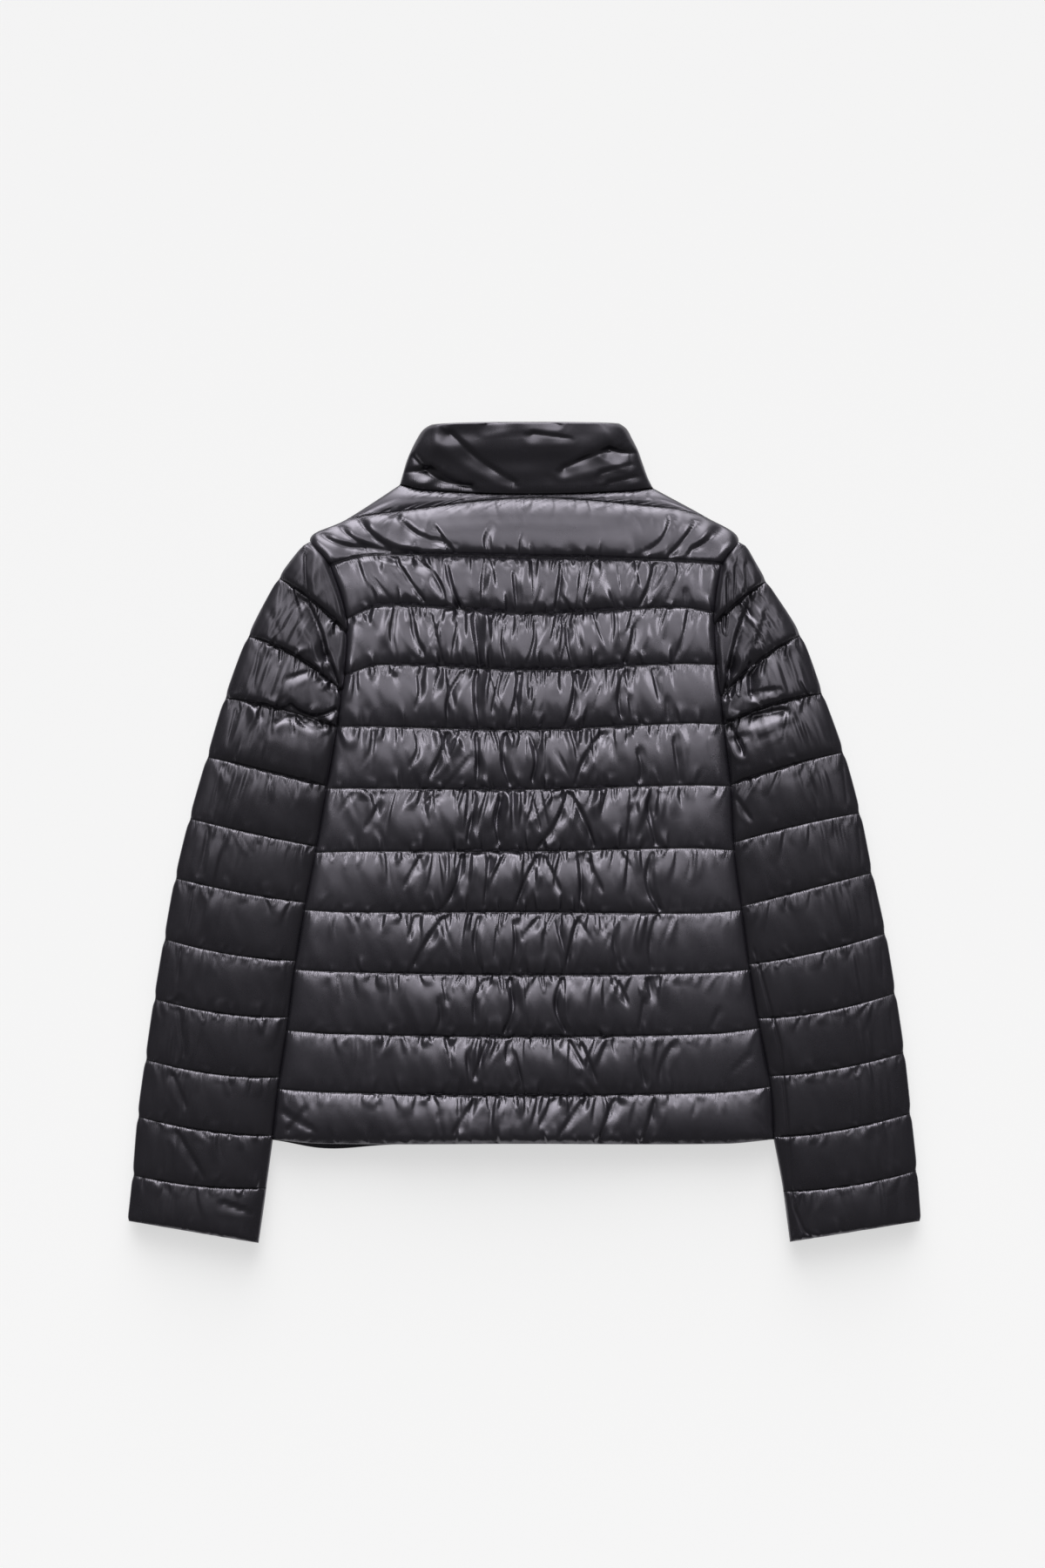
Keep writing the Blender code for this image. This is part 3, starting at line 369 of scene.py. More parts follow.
# How the padding stands: heights in millimetres, and shares of the full height
padding = {
    "stitchRise": 6.8,  # wall under a line of quilting
    "bodyCrest": 0.74,  # where a channel is highest, from its upper to its lower stitches
    "bodyLowCrest": 0.6,
    "sleeveCrest": 0.78,
    "sleeveLowCrest": 0.6,
    "bodyPuff": 8.0,
    "bodyLowPuff": 6.0,  # the channels near the hem are pressed flatter
    "bodyRound": 1.8,  # the higher, the flatter above the crest; then the same below it
    "bodyLowRound": 2.6,
    "bodySag": 3.2,
    "bodyLowSag": 3.8,
    "sleevePuff": 7.4,
    "sleeveLowPuff": 2.6,
    "sleeveRound": 1.8,
    "sleeveLowRound": 5.8,
    "sleeveSag": 6.0,
    "sleeveLowSag": 4.0,
    "bodyFlattens": (4.5, 7.0),  # from row to row
    "sleeveFlattens": (2.8, 5.2),
    # channels of their own: first and last row, puff, crest, round and sag
    "yoke": (0, 3, 10.5, 0.88, 1.2, 4.5),
    "hemBand": (12, 14, 9.5, 0.6, 1.5, 3.8),
    "sideFlatness": 2.4,  # flatter still towards the sides of the body
    "sidePuff": 0.46,
    "sideStart": 60.0,  # from here outwards, over so many millimetres
    "sideOver": 90.0,
    "bodyBulge": 0.55,  # how much of the solved shape is kept
    "sleeveBulge": 0.35,
    "collarRise": 15.0,
    "shoulderPuff": 3.5,
    "shoulderRoll": 0.4,
    "hemPuff": 0.55,
    "cuffPuff": 0.6,
    "seamDip": 0.34,
    "neckDip": 0.55,
    "hemDip": 0.3,
    "collarTopDip": 0.12,
    "zipDip": 0.72,
    "seatWidening": 1.06,
}

# How the shell cloth fills out between its seams
shell = {
    "middleGather": 0.07,  # share of spare cloth across the middle of the back
    "middleEnd": 185.0,
    "middleFade": 70.0,
    "sideGather": 0.03,
    "lengthGather": 0.01,
    "coarseCrowd": 0.3,  # how closely the solver's rows crowd towards the seams
    "unit": 0.01,  # solver units in a millimetre
    "frames": 20,
    "quality": 4,
    "mass": 0.15,
    "stretch": 30,
    "shear": 10,
    "bend": 0.3,
    "pressure": 3.5,
    "cap": 5.0,  # the furthest the cloth may leave its plain shape, in millimetres
    "foldShare": 0.8,  # how much of the folds it starts with
    "lumpHeight": 0.9,  # unevenness that it starts with
    "lumps": 8.0,
    "lumpStretch": 2.5,
}

# What a line of quilting does to the cloth beside it, in millimetres
stitches = {
    "groove": 0.7,
    "grooveWidth": 0.8,
    "pucker": 0.55,
    "puckerReach": 6.5,
    "puckerReaches": (0.55, 0.9),  # shortest, as a share of it, and what is drawn on top
    "puckerTurns": 0.7,  # how far ridges and troughs take turns
    "puckerStep": 4.3,
    "puckerStart": 0.9,  # a pucker is full this far from the thread
    "pinch": 1.2,  # how far it draws in the outline
    "pinchReach": 5.0,
    "crumple": 0.9,
    "crumpleLumps": 12.0,
    "crumpleStretch": 3.0,
    "crumpleLean": 0.35,
    "crumpleFine": 0.3,  # share of lumps half that size
    "held": 3.0,  # how far from a thread the cloth is still held by it
    "nowhere": 50.0,  # distance given to points that lie by no thread
}


def channelRise(places, share, kind):
    # height of the wall down a panel: the puff above its stitches, flatter from row to row
    start, end = padding[kind + "Flattens"]
    low = easeIn((places - start) / (end - start))
    values = [
        padding[kind + name] + (padding[kind + "Low" + name] - padding[kind + name]) * low
        for name in ("Puff", "Crest", "Round", "Sag")
    ]
    for first, last, *own in (padding["yoke"], padding["hemBand"]) if kind == "body" else ():
        here = (places >= first) & (places < last)
        values = [np.where(here, new, old) for new, old in zip(own, values)]
    puff, crest, roundness, sag = values
    above = np.clip(1 - share / crest, 0, 1)
    below = np.clip((share - crest) / (1 - crest), 0, 1) ** sag
    middle = padding["stitchRise"] + puff * (1 - above**roundness - below)
    side = above ** (roundness + padding["sideFlatness"])
    side = padding["stitchRise"] + padding["sidePuff"] * puff * (1 - side - below)
    return middle[:, None], side[:, None]


def seamSteps(seams, steps, crowd=0.7):
    # places from seam to seam, crowding towards both
    s = np.arange(steps) / steps
    t = (1 - crowd) * s + crowd * (1 - np.cos(np.pi * s)) / 2
    return np.concatenate([low + (high - low) * t for low, high in zip(seams, seams[1:])] + [seams[-1:]])


def bothEnds(count, crowd=1.0):
    # from 0 to 1, crowding towards both ends
    s = np.linspace(0, 1, count)
    return (1 - crowd) * s + crowd * (1 - np.cos(np.pi * s)) / 2


def gridFaces(rows, columns, wrap=False, ring=False):
    index = np.arange(rows * columns).reshape(rows, columns)
    if wrap:
        index = np.concatenate([index, index[:, :1]], axis=1)
    if ring:
        index = np.concatenate([index, index[:1]])
    corners = (index[:-1, :-1], index[:-1, 1:], index[1:, 1:], index[1:, :-1])
    return np.stack(corners, axis=-1).reshape(-1, 4)


def newPiece(name, points, faces):
    mesh = bpy.data.meshes.new(name)
    spots = (np.asarray(points).reshape(-1, 3) * mm).tolist()
    mesh.from_pydata(spots, [], [tuple(face) for face in faces])
    mesh.shade_smooth()
    piece = bpy.data.objects.new(name, mesh)
    bpy.context.scene.collection.objects.link(piece)
    return piece


def sunkStart(plain, full, folds, seed):
    # the cloth as the solver finds it, a little sunk along its folds
    x, y = plain[..., 0], plain[..., 1]
    lumps = drift(x, y / shell["lumpStretch"], shell["lumps"], seed)
    sunk = shell["foldShare"] * creases(x, y, folds) + shell["lumpHeight"] * lumps
    start = plain.copy()
    start[..., 2] -= full * sunk
    return start


def inflate(name, plain, start, rest, seamRows):
    # lets gathered cloth fill out between its seams, and gives how far each point moves
    sewn = np.zeros(plain.shape[:2], bool)
    sewn[seamRows] = True
    sewn[:, [0, -1]] = True
    faces = gridFaces(*plain.shape[:2])
    cloth = newPiece(name, start * shell["unit"] / mm, faces.tolist())
    if sum(face.normal.z for face in cloth.data.polygons) < 0:
        cloth.data.flip_normals()
    cloth.shape_key_add(name="Basis")
    cut = cloth.shape_key_add(name="cut")
    cut.data.foreach_set("co", (rest * shell["unit"]).reshape(-1).astype(np.float32))
    group = cloth.vertex_groups.new(name="sewn")
    group.add(np.flatnonzero(sewn.reshape(-1)).tolist(), 1.0, "REPLACE")
    modifier = cloth.modifiers.new("cloth", "CLOTH")
    settings = modifier.settings
    settings.quality = shell["quality"]
    settings.mass = shell["mass"]
    settings.tension_stiffness = settings.compression_stiffness = shell["stretch"]
    settings.shear_stiffness = shell["shear"]
    settings.bending_stiffness = shell["bend"]
    settings.use_pressure = True
    settings.uniform_pressure_force = shell["pressure"]
    settings.vertex_group_mass = "sewn"
    settings.rest_shape_key = cut
    settings.effector_weights.gravity = 0
    modifier.collision_settings.use_collision = False
    modifier.point_cache.frame_start = 1
    modifier.point_cache.frame_end = shell["frames"]
    for frameNumber in range(1, shell["frames"] + 1):
        bpy.context.scene.frame_set(frameNumber)
    settled = cloth.evaluated_get(bpy.context.evaluated_depsgraph_get()).to_mesh()
    found = np.empty(plain.size, np.float32)
    settled.vertices.foreach_get("co", found)
    bpy.data.objects.remove(cloth)
    bpy.context.scene.frame_set(1)
    moved = found.reshape(plain.shape).astype(float) / shell["unit"] - plain
    far = np.linalg.norm(moved, axis=-1, keepdims=True)
    print(name, "filled out, by up to", round(float(far.max()), 1), "mm")
    return moved * np.tanh(far / shell["cap"]) * shell["cap"] / np.maximum(far, 1e-6)


def onFinerGrid(moved, coarse, fine, seams, columns, fineColumns):
    # reads a field at more rows and columns, smooth inside a channel and creased at its seams
    spread = np.interp(fineColumns, columns, np.arange(len(columns)))
    wide = np.moveaxis(throughRows(np.moveaxis(moved, 1, 0), spread), 0, 1)
    made = np.empty((len(fine), len(fineColumns)) + moved.shape[2:])
    for low, high in zip(seams, seams[1:]):
        here = np.flatnonzero((coarse >= low - 1e-9) & (coarse <= high + 1e-9))
        there = np.flatnonzero((fine >= low - 1e-9) & (fine <= high + 1e-9))
        at = np.interp(fine[there], coarse[here], np.arange(len(here)))
        made[there] = throughRows(wide[here], at)
    return made


def onSeam(places, seams):
    return np.min(np.abs(places[:, None] - np.asarray(seams, float)[None, :]), axis=1) < 1e-6


def seamDistances(places, seams, points):
    # millimetres to the nearest line of quilting, up and down a column, and that line's number
    steps = np.linalg.norm(np.diff(points, axis=0), axis=-1)
    down = np.concatenate([np.zeros((1, points.shape[1])), np.cumsum(steps, axis=0)])
    rows = [int(np.argmin(np.abs(places - seam))) for seam in seams]
    away = np.abs(down[:, None, :] - down[rows][None, :, :])
    nearest = np.argmin(away, axis=1)
    below = (down > np.take_along_axis(down[rows], nearest, axis=0)).astype(int)
    return np.min(away, axis=1), 2 * nearest + below


def gathers(run, away, line, seed):
    # little folds that fan out from the stitches, different above and below each line
    lines, cells = 64, 4096
    table = np.random.default_rng(seed).uniform(-1, 1, (lines, cells))
    table[:, ::2] += stitches["puckerTurns"]
    line = line % lines
    at = run / stitches["puckerStep"] + 400  # never below 0
    cell = np.floor(at).astype(int)
    share = easeIn(at - cell)
    shortest, drawn = stitches["puckerReaches"]
    reach = stitches["puckerReach"] * (shortest + drawn * np.abs(table[line, (cell // 2) % cells]))
    value = table[line, cell % cells] * (1 - share) + table[line, (cell + 1) % cells] * share
    return value * (1 - np.exp(-away / stitches["puckerStart"])) * bell(away, reach)


def quilted(points, places, seams, seed):
    # draws the cloth in along its stitches; gives the heights to take off and where each point lies
    run = points[..., 0] - points[:, [0], 0]
    away, line = seamDistances(places, seams, points)
    sunk = stitches["groove"] * bell(away, stitches["grooveWidth"])
    return sunk - stitches["pucker"] * gathers(run, away, line, seed), run, away


# Pleats that hang from the stitches, gentle on one side and steep on the other: one in every so
# many millimetres, and their sizes
pleats = {
    "spacing": 9.0,
    "length": (9.0, 44.0),
    "height": (1.2, 3.1),
    "width": (2.0, 4.8),
    "widening": (0.7, 0.6),  # share of the width at its start, and what it gains to its end
    "steep": 0.45,  # the slope on each side of a ridge, in its widths
    "gentle": 1.5,
    "growth": 0.12,  # it is full after this share of its length
    "trough": (0.95, 0.6, 0.5),  # place, width and depth
    "steepRight": 0.7,  # how many are steep on the right
    "bow": 2.0,
    "dentShare": 0.2,  # how many are dents with a raised rim round them
    "dentSize": (0.4, 0.8),  # length and width, as shares of the pleat's
    "dentRim": (0.9, 1.0),  # height and width
    "dentHollow": 0.7,
    "dentEdge": 0.5,
    "lean": (-0.1, 0.22),  # mean and spread
    "fan": 0.15,  # how much more they lean outwards 200 mm from the middle
    "upwardShare": 0.5,  # how many rise from the lower stitches instead
    "upwardLength": (6.0, 24.0),
    "surround": 14.0,  # how far to each side a pleat is worked out
}


def dent(aside, down, length, half):
    # a hollow that hangs from the stitches, with a thin rim round it
    t = np.clip(down / length, 0, 1)
    beyond = np.maximum(down - length, 0)
    past = np.hypot(np.maximum(aside, 0), beyond) - half * np.sqrt(1 - t * t)
    hollow = pleats["dentHollow"] / (1 + np.exp(np.clip(past / pleats["dentEdge"], -30, 30)))
    rimHeight, rimWidth = pleats["dentRim"]
    return easeIn(down / 2) * (rimHeight * bell(past, rimWidth) - hollow)


def pleatRise(x, y, places, seams, seed, life):
    # ridges with a trough along the steep side, from one line of quilting towards the next
    rng = np.random.default_rng(seed)
    rise = np.zeros(x.shape)
    troughPlace, troughWidth, troughDepth = pleats["trough"]
    dentLength, dentWidth = pleats["dentSize"]
    startShare, gain = pleats["widening"]
    for low, high in zip(seams, seams[1:]):
        rows = np.flatnonzero((places >= low - 1e-9) & (places <= high + 1e-9))
        px, py = x[rows], y[rows]
        width = px[0, -1] - px[0, 0]
        for upward in (False, True):
            count = int(abs(width) / pleats["spacing"] * (pleats["upwardShare"] if upward else 1))
            shortest, longest = pleats["upwardLength" if upward else "length"]
            seam = -1 if upward else 0
            for number in range(count):
                at = (number + rng.uniform(0.1, 0.9)) / count * (px.shape[1] - 1)
                x0, y0 = (np.interp(at, np.arange(px.shape[1]), v[seam]) for v in (px, py))
                strength = float(life(x0, y0))
                length = (shortest + (longest - shortest) * rng.uniform() ** 1.5) * (0.5 + 0.5 * strength)
                height = rng.uniform(*pleats["height"])
                wide = rng.uniform(*pleats["width"])
                lean = rng.normal(*pleats["lean"]) - pleats["fan"] * x0 / 200
                bow = rng.uniform(-pleats["bow"], pleats["bow"])
                steepSide = 1 if rng.uniform() < pleats["steepRight"] else -1
                near = np.abs(px - x0) < length * (abs(lean) + 0.1) + pleats["surround"]
                if not near.any():
                    continue
                down = (py[near] - y0) * (1 if upward else -1)
                t = np.clip(down / length, 0, 1)
                away = (px[near] - x0 - lean * down - bow * np.sin(np.pi * t)) / math.hypot(1, lean)
                away = away * steepSide / (wide * (startShare + gain * t))
                ridge = bell(away, np.where(away > 0, pleats["steep"], pleats["gentle"]))
                trough = troughDepth * bell(away - troughPlace, troughWidth)
                shape = easeIn(down / (pleats["growth"] * length)) * (1 - t * t) * (ridge - trough)
                if not upward and rng.uniform() < pleats["dentShare"]:
                    shape = dent(np.abs(away) * wide, down, dentLength * length, dentWidth * wide)
                patch = np.zeros(px.shape)
                patch[near] = height * strength * shape
                rise[rows] += patch
    return rise


# Where the cloth gets calmer: where that starts, over how many millimetres, and by what share
calming = {
    "sides": (110, 80, 0.6),  # out from the middle of the back
    "hem": (-20, 120, 0.2),  # down the back, so a height of 20 counts as -20
    "yoke": (238, 10, 0.45),  # up the back
    "shoulders": (254, 12, 0.35),
    "forearm": (-150, 110, 0.6),  # down a sleeve
}


def calmed(distance, name):
    start, over, share = calming[name]
    return share * easeIn((distance - start) / over)


def bodyLife(x, y):
    # how lively the back is
    outer = (1 - calmed(np.abs(x - garment["middle"]), "sides")) * (1 - calmed(-y, "hem"))
    return outer * (1 - calmed(y, "yoke") - calmed(y, "shoulders"))


def sleeveLife(x, y):
    return 1 - calmed(-y, "forearm")


def crumple(x, y, seed, life):
    # soft uneven puffs
    lean, high = x + stitches["crumpleLean"] * y, y / stitches["crumpleStretch"]
    lumps = stitches["crumpleLumps"]
    puffs = drift(lean, high, lumps, seed)
    puffs = puffs + stitches["crumpleFine"] * drift(lean, high, lumps / 2, seed + 1)
    return stitches["crumple"] * life(x, y) * puffs


def freed(away):
    # how freely the cloth moves at this distance from a thread
    return 1 - bell(away, stitches["held"])


def bodyChannel(places):
    # where each row lies in its channel, 0 and 1 at the seams; one channel rolls over the shoulder
    roll = padding["shoulderRoll"]
    share = places - np.floor(places)
    share = np.where(places < 1, 0.0, share)
    share = np.where((places >= 1) & (places < 2), roll * (places - 1), share)
    share = np.where((places >= 2) & (places < 3), roll + (1 - roll) * (places - 2), share)
    return np.where(places >= bodyEnd - 1, padding["hemPuff"] * (places - bodyEnd + 1), share)


def bodyEdgeShare(x, y, reach):
    openSide = np.minimum.reduce([toLine(x, y, points) for points in openEdges])
    armhole = np.minimum.reduce([toLine(x, y, points) for points in armholes])
    return rounded(openSide, reach) * dipped(armhole, garment["seamRound"], padding["seamDip"])


def bodyLine(across, row):
    return bodyPlan(across, np.array([float(row)]))[1]


# Back panel
back = {
    "coarseRows": 15,
    "coarseColumns": 230,
    "rows": 24,
    "columns": 332,
    "crowd": 0.3,  # how much closer together its columns lie in the middle
    "seamGroove": 1.5,
    "seamWidth": 1.7,
    # where its side seam shows
    "seam": ((213, -160), (216, -180), (219.5, -215), (222, -245), (222.5, -279)),
}


def backShape(across, places):
    x, y = bodyPlan(across, places)
    middle, side = channelRise(places, bodyChannel(places), "body")
    aside = np.abs(x - garment["middle"])
    rise = middle + (side - middle) * easeIn((aside - padding["sideStart"]) / padding["sideOver"])
    neck, first, hem = (bodyLine(across, row) for row in (0, 1, bodyEnd))
    strip = np.minimum((neck - first) / garment["sideRound"], 1)
    inStrip = (places > 0) & (places < 1)
    rise[inStrip] += padding["shoulderPuff"] * np.sin(np.pi * places[inStrip])[:, None] * strip
    share = bodyEdgeShare(x, y, garment["sideRound"])
    share = share * dipped(y - hem, garment["hemRound"], padding["hemDip"])
    share = share * dipped(neck - y, garment["hemRound"], padding["neckDip"])
    height = garment["edgeRise"] + (rise - garment["edgeRise"]) * share
    return np.stack([x, y, upperBase + height], axis=-1)


def stretchedOut(plain, gather, lengthGather):
    # the same cloth before it was gathered, for the solver's rest lengths
    rest = plain.copy()
    steps = np.diff(plain[..., 0], axis=1) * gather[:, 1:]
    wide = np.concatenate([np.zeros((len(plain), 1)), np.cumsum(steps, axis=1)], axis=1)
    rest[..., 0] += wide - wide[:, [plain.shape[1] // 2]]
    rest[..., 1] *= 1 + lengthGather
    return rest


def fullness(points, base, top):
    return np.clip((points[..., 2] - base - padding["stitchRise"]) / top, 0, 1)


def makeBack():
    seams = np.array(bodySeams, float)
    coarse = seamSteps(seams, back["coarseRows"], shell["coarseCrowd"])
    across = np.linspace(-1, 1, back["coarseColumns"])
    plain = backShape(across, coarse)
    middle = easeIn((shell["middleEnd"] - np.abs(plain[..., 0])) / shell["middleFade"])
    gather = shell["sideGather"] + (shell["middleGather"] - shell["sideGather"]) * middle
    rest = stretchedOut(plain, gather, shell["lengthGather"])
    full = fullness(plain, upperBase, padding["bodyPuff"])
    start = sunkStart(plain, full, backFolds, 1)
    moved = inflate("back_cloth", plain, start, rest, onSeam(coarse, seams))
    fine = seamSteps(seams, back["rows"])
    fineAcross = np.linspace(-1, 1, back["columns"])
    fineAcross = fineAcross - back["crowd"] * np.sin(np.pi * fineAcross) / np.pi
    points = backShape(fineAcross, fine)
    points += padding["bodyBulge"] * onFinerGrid(moved, coarse, fine, seams, across, fineAcross)
    x, y = points[..., 0], points[..., 1]
    share = bodyEdgeShare(x, y, garment["sideRound"])
    rise = pleatRise(x, y, fine, seams, 21, bodyLife)
    sunk, run, away = quilted(points, fine, seams, 11)
    sunk -= crumple(x, y, 13, bodyLife) * freed(away)
    sunk += back["seamGroove"] * bell(toLine(x, y, back["seam"]), back["seamWidth"])
    points[..., 2] += share * (rise - sunk - freed(away) * creases(x, y, backFolds))
    points[..., 2] = np.maximum(points[..., 2], upperBase + garment["thinnest"])
    return panel("back_shell", points, upperBase, run, away)


def borderOf(rows, columns):
    # the numbers of the points round a grid
    index = np.arange(rows * columns).reshape(rows, columns)
    return np.concatenate([index[0], index[1:, -1], index[-1, -2::-1], index[-2:0:-1, 0]])


def panel(name, points, innerLevel, run, away):
    # a wall with a shaped face and one plain face
    rows, columns = points.shape[:2]
    border = borderOf(rows, columns)
    inner = points.reshape(-1, 3)[border].copy()
    inner[:, 2] = innerLevel
    count, first = len(border), rows * columns
    faces = gridFaces(rows, columns).tolist()
    for n in range(count):
        after = (n + 1) % count
        faces.append((border[n], border[after], first + after, first + n))
    faces.append(tuple(range(first, first + count)))
    piece = newPiece(name, np.concatenate([points.reshape(-1, 3), inner]), faces)
    faceOut(piece)
    lay(piece, run, away, count)
    return piece


def faceOut(piece):
    edit = bmesh.new()
    edit.from_mesh(piece.data)
    bmesh.ops.recalc_face_normals(edit, faces=edit.faces)
    edit.to_mesh(piece.data)
    edit.free()


def lay(piece, run, away, spare):
    # tells the material where each point lies along and beside the stitches
    for name, values in (("stitchRun", run), ("stitchAway", away)):
        attribute = piece.data.attributes.new(name, "FLOAT", "POINT")
        filled = np.concatenate([np.asarray(values).reshape(-1), np.full(spare, stitches["nowhere"])])
        attribute.data.foreach_set("value", filled.astype(np.float32))


backPiece = makeBack()
print("back panel made,", len(backPiece.data.polygons), "faces")

# Front panels, pressed flat by what lies on them
fronts = {
    "rows": 12,
    "columns": 60,
    "groove": 1.5,
    "grooveWidth": 3.0,
    "pucker": 0.25,
    "unevenness": 0.5,
    "lumps": 11.0,
    "lumpStretch": 3.0,
    "freeFrom": 12.0,  # fully uneven this far from a line of quilting
}


def neckDrop(x, belowSeam):
    # how far the front layer is pulled down towards its lower neckline
    fade = np.maximum(0, 1 - belowSeam / garment["dropReach"]) ** 2
    return garment["neckDrop"] * np.maximum(0, 1 - (x / bodyLines[0][7]) ** 2) * fade


def pressedGrooves(away):
    # quilting on a face that lies pressed against the floor
    return fronts["groove"] * bell(away, fronts["grooveWidth"])


def makeFront(name, side):
    seams = np.array(bodySeams, float)
    places = seamSteps(seams, fronts["rows"])
    left, right = bodyEdge(-1, places)[0][:, None], bodyEdge(1, places)[0][:, None]
    zipEdge = side * garment["zipHalf"]
    outside = left if side < 0 else right
    x = outside + (zipEdge - outside) * bothEnds(fronts["columns"])[None, :]
    across = 2 * (x - left) / (right - left) - 1
    y, neck, hem = np.empty(x.shape), np.empty(x.shape), np.empty(x.shape)
    for n, place in enumerate(places):
        y[n] = bodyPlan(across[n], np.array([place]))[1][0]
        neck[n], hem[n] = (bodyLine(across[n], row)[0] for row in (0, bodyEnd))
    edge = bodyEdgeShare(x, y, garment["floorRound"])
    edge = edge * dipped(y - hem, garment["hemRound"], padding["hemDip"])
    edge = edge * dipped(np.abs(x - zipEdge), garment["zipRound"], padding["zipDip"])
    edge = edge * dipped(neck - y, garment["hemRound"], padding["neckDip"])
    depth = garment["edgeRise"] + (lowerBase - garment["edgeRise"]) * edge
    inHem = np.maximum(0, places - bodyEnd + 1)[:, None]
    sag = garment["hemSag"] * inHem * bell(x - garment["hemSagX"], garment["hemSagWidth"])
    points = np.stack([x, y - neckDrop(x, neck - y) - sag, lowerBase - depth], axis=-1)
    away, line = seamDistances(places, seams, points)
    run = points[..., 0] - zipEdge
    rise = pressedGrooves(away) - fronts["pucker"] * gathers(run, away, line, 31 + side)
    uneven = 1 + drift(x, y / fronts["lumpStretch"], fronts["lumps"], 33 + side)
    rise += fronts["unevenness"] * uneven * easeIn(away / fronts["freeFrom"])
    points[..., 2] = np.clip(points[..., 2] + edge * rise, 0, lowerBase - garment["thinnest"])
    return panel(name, points, lowerBase, run, away)


frontPieces = [makeFront("front_left_shell", -1), makeFront("front_right_shell", 1)]
print("front panels made")

# Sleeves
sleeves = {
    "coarseRows": 12,
    "coarseColumns": 56,
    "rows": 28,
    "columns": 120,
    "underColumns": 30,
    "crowd": 0.45,  # how closely its columns crowd towards both sides
    "thinnest": 0.4,
    "overlap": 1.2,  # how far its upper layer tucks in beside the back
    "capTipRise": 0.6,
    "capTipWidth": 60.0,
    "pitch": 54.0,
    "gather": 0.045,  # share of spare cloth across it
    "bulgeWidth": 130.0,  # it bulges less where it is narrower than this
    "innerRound": 24.0,
    "outerRound": 88.0,
    "wrinkle": 0.9,  # fine lengthwise wrinkles along the outer side
    "wrinkleSize": 3.4,
    "wrinkleStretch": 7.0,
    "wrinkleFar": 30.0,
    "wrinkleSpread": 17.0,
    "seamGroove": 1.6,
    "seamWidth": 1.2,
    "seam": (  # the underarm seam that shows on the right sleeve
        (208, -106), (221, -153), (231.5, -193), (237, -248), (239.4, -276), (241, -311), (244, -339),
        (253, -360), (263, -367),
    ),
    "crown": 0.28,  # where its highest line lies, as a share of its width from the body outwards
}


def sleeveEnds(lines, side, places, upper):
    # outer and inner ends of each line, as x and y, and the lift of its middle
    outer = [throughRows(column(lines, n), places) for n in (1, 2)]
    bow = throughRows(column(lines, 6), places)
    beside = [line[3] for line in lines if line[3] is not None]
    at = np.interp(places, np.arange(len(beside)), beside)
    spot, ahead = (np.array(bodyEdge(side, at + step)) for step in (0, 0.01))
    way = (ahead - spot) / np.linalg.norm(ahead - spot, axis=0)
    parted = np.clip(at - underarmRow, 0, 1)
    gap = (1 - parted) * garment["seamGap"] + parted * garment["sleeveGap"]
    if upper:
        gap = -sleeves["overlap"]
    inner = np.array([spot[0] - side * way[1] * gap, spot[1] + side * way[0] * gap])
    free = places > len(beside) - 1
    last = inner[:, ~free][:, -1]
    for n, number in ((0, 4), (1, 5)):
        values = [last[n]] + [line[number] for line in lines[len(beside):]]
        inner[n, free] = throughRows(values, places[free] - len(beside) + 1)
    return outer, inner, bow


def sleeveSurface(lines, side, places, along, upper):
    outer, inner, bow = sleeveEnds(lines, side, places, upper)
    last = len(lines) - 1
    width = np.hypot(outer[0] - inner[0], outer[1] - inner[1])[:, None]
    seamAway = np.abs(places - np.round(places))[:, None] * sleeves["pitch"]
    pinch = stitches["pinch"] * bell(seamAway, stitches["pinchReach"]) * along[None, :] ** 6
    share = along[None, :] - pinch / width
    x = inner[0][:, None] + (outer[0] - inner[0])[:, None] * share
    y = inner[1][:, None] + (outer[1] - inner[1])[:, None] * share
    y = y + bow[:, None] * 4 * share * (1 - share)
    capEnd = next(n for n, line in enumerate(lines) if line[3] == underarmRow)
    below = np.clip(places - capEnd, 0, 1)[:, None]
    crown = sleeves["crown"] if upper else 0.5
    innerRound = garment["seamRound"] * (1 - below) + sleeves["innerRound"] * below
    outerRound = sleeves["outerRound"] if upper else garment["sideRound"]
    edge = dipped(along * width, np.minimum(innerRound, crown * width), padding["seamDip"] * (1 - below))
    edge = edge * rounded((1 - along) * width, np.minimum(outerRound, (1 - crown) * width))
    if not upper:
        depth = garment["edgeRise"] + (lowerBase - garment["edgeRise"]) * edge
        depth = np.minimum(depth * padding["seatWidening"], lowerBase)
        return np.stack([x, y, lowerBase - depth], axis=-1), edge
    channel = places - np.floor(places)
    channel = np.where(places > last - 1, padding["cuffPuff"] * (places - last + 1), channel)
    rise = channelRise(places, channel, "sleeve")[0]
    toCuff = (last - places)[:, None] * sleeves["pitch"]
    rise = rise * dipped(toCuff, garment["hemRound"], padding["hemDip"])
    tip = sleeves["capTipRise"]
    rise = rise * (tip + (1 - tip) * np.minimum(width / sleeves["capTipWidth"], 1))
    height = garment["edgeRise"] + (rise - garment["edgeRise"]) * edge
    return np.stack([x, y, upperBase + height], axis=-1), edge


def widthOf(spots):
    return np.linalg.norm(spots[:, -1] - spots[:, 0], axis=-1)[:, None]


def sleeveInside(lines, side, places):
    # the flat slit inside a sleeve, four points to a row
    sides = np.array([0.0, 1.0])
    upper, lower = (sleeveSurface(lines, side, places, sides, top)[0] for top in (True, False))
    width = widthOf(upper)
    far = 1 - np.minimum(garment["wallAtFold"], width / 2) / width
    slit = []
    for ends, level, share in (
        (lower, lowerBase, 0), (lower, lowerBase, far), (upper, upperBase, far), (upper, upperBase, 0),
    ):
        spots = ends[:, 0] + (ends[:, 1] - ends[:, 0]) * share
        spots[:, 2] = level
        slit.append(spots)
    return np.stack(slit, axis=1)


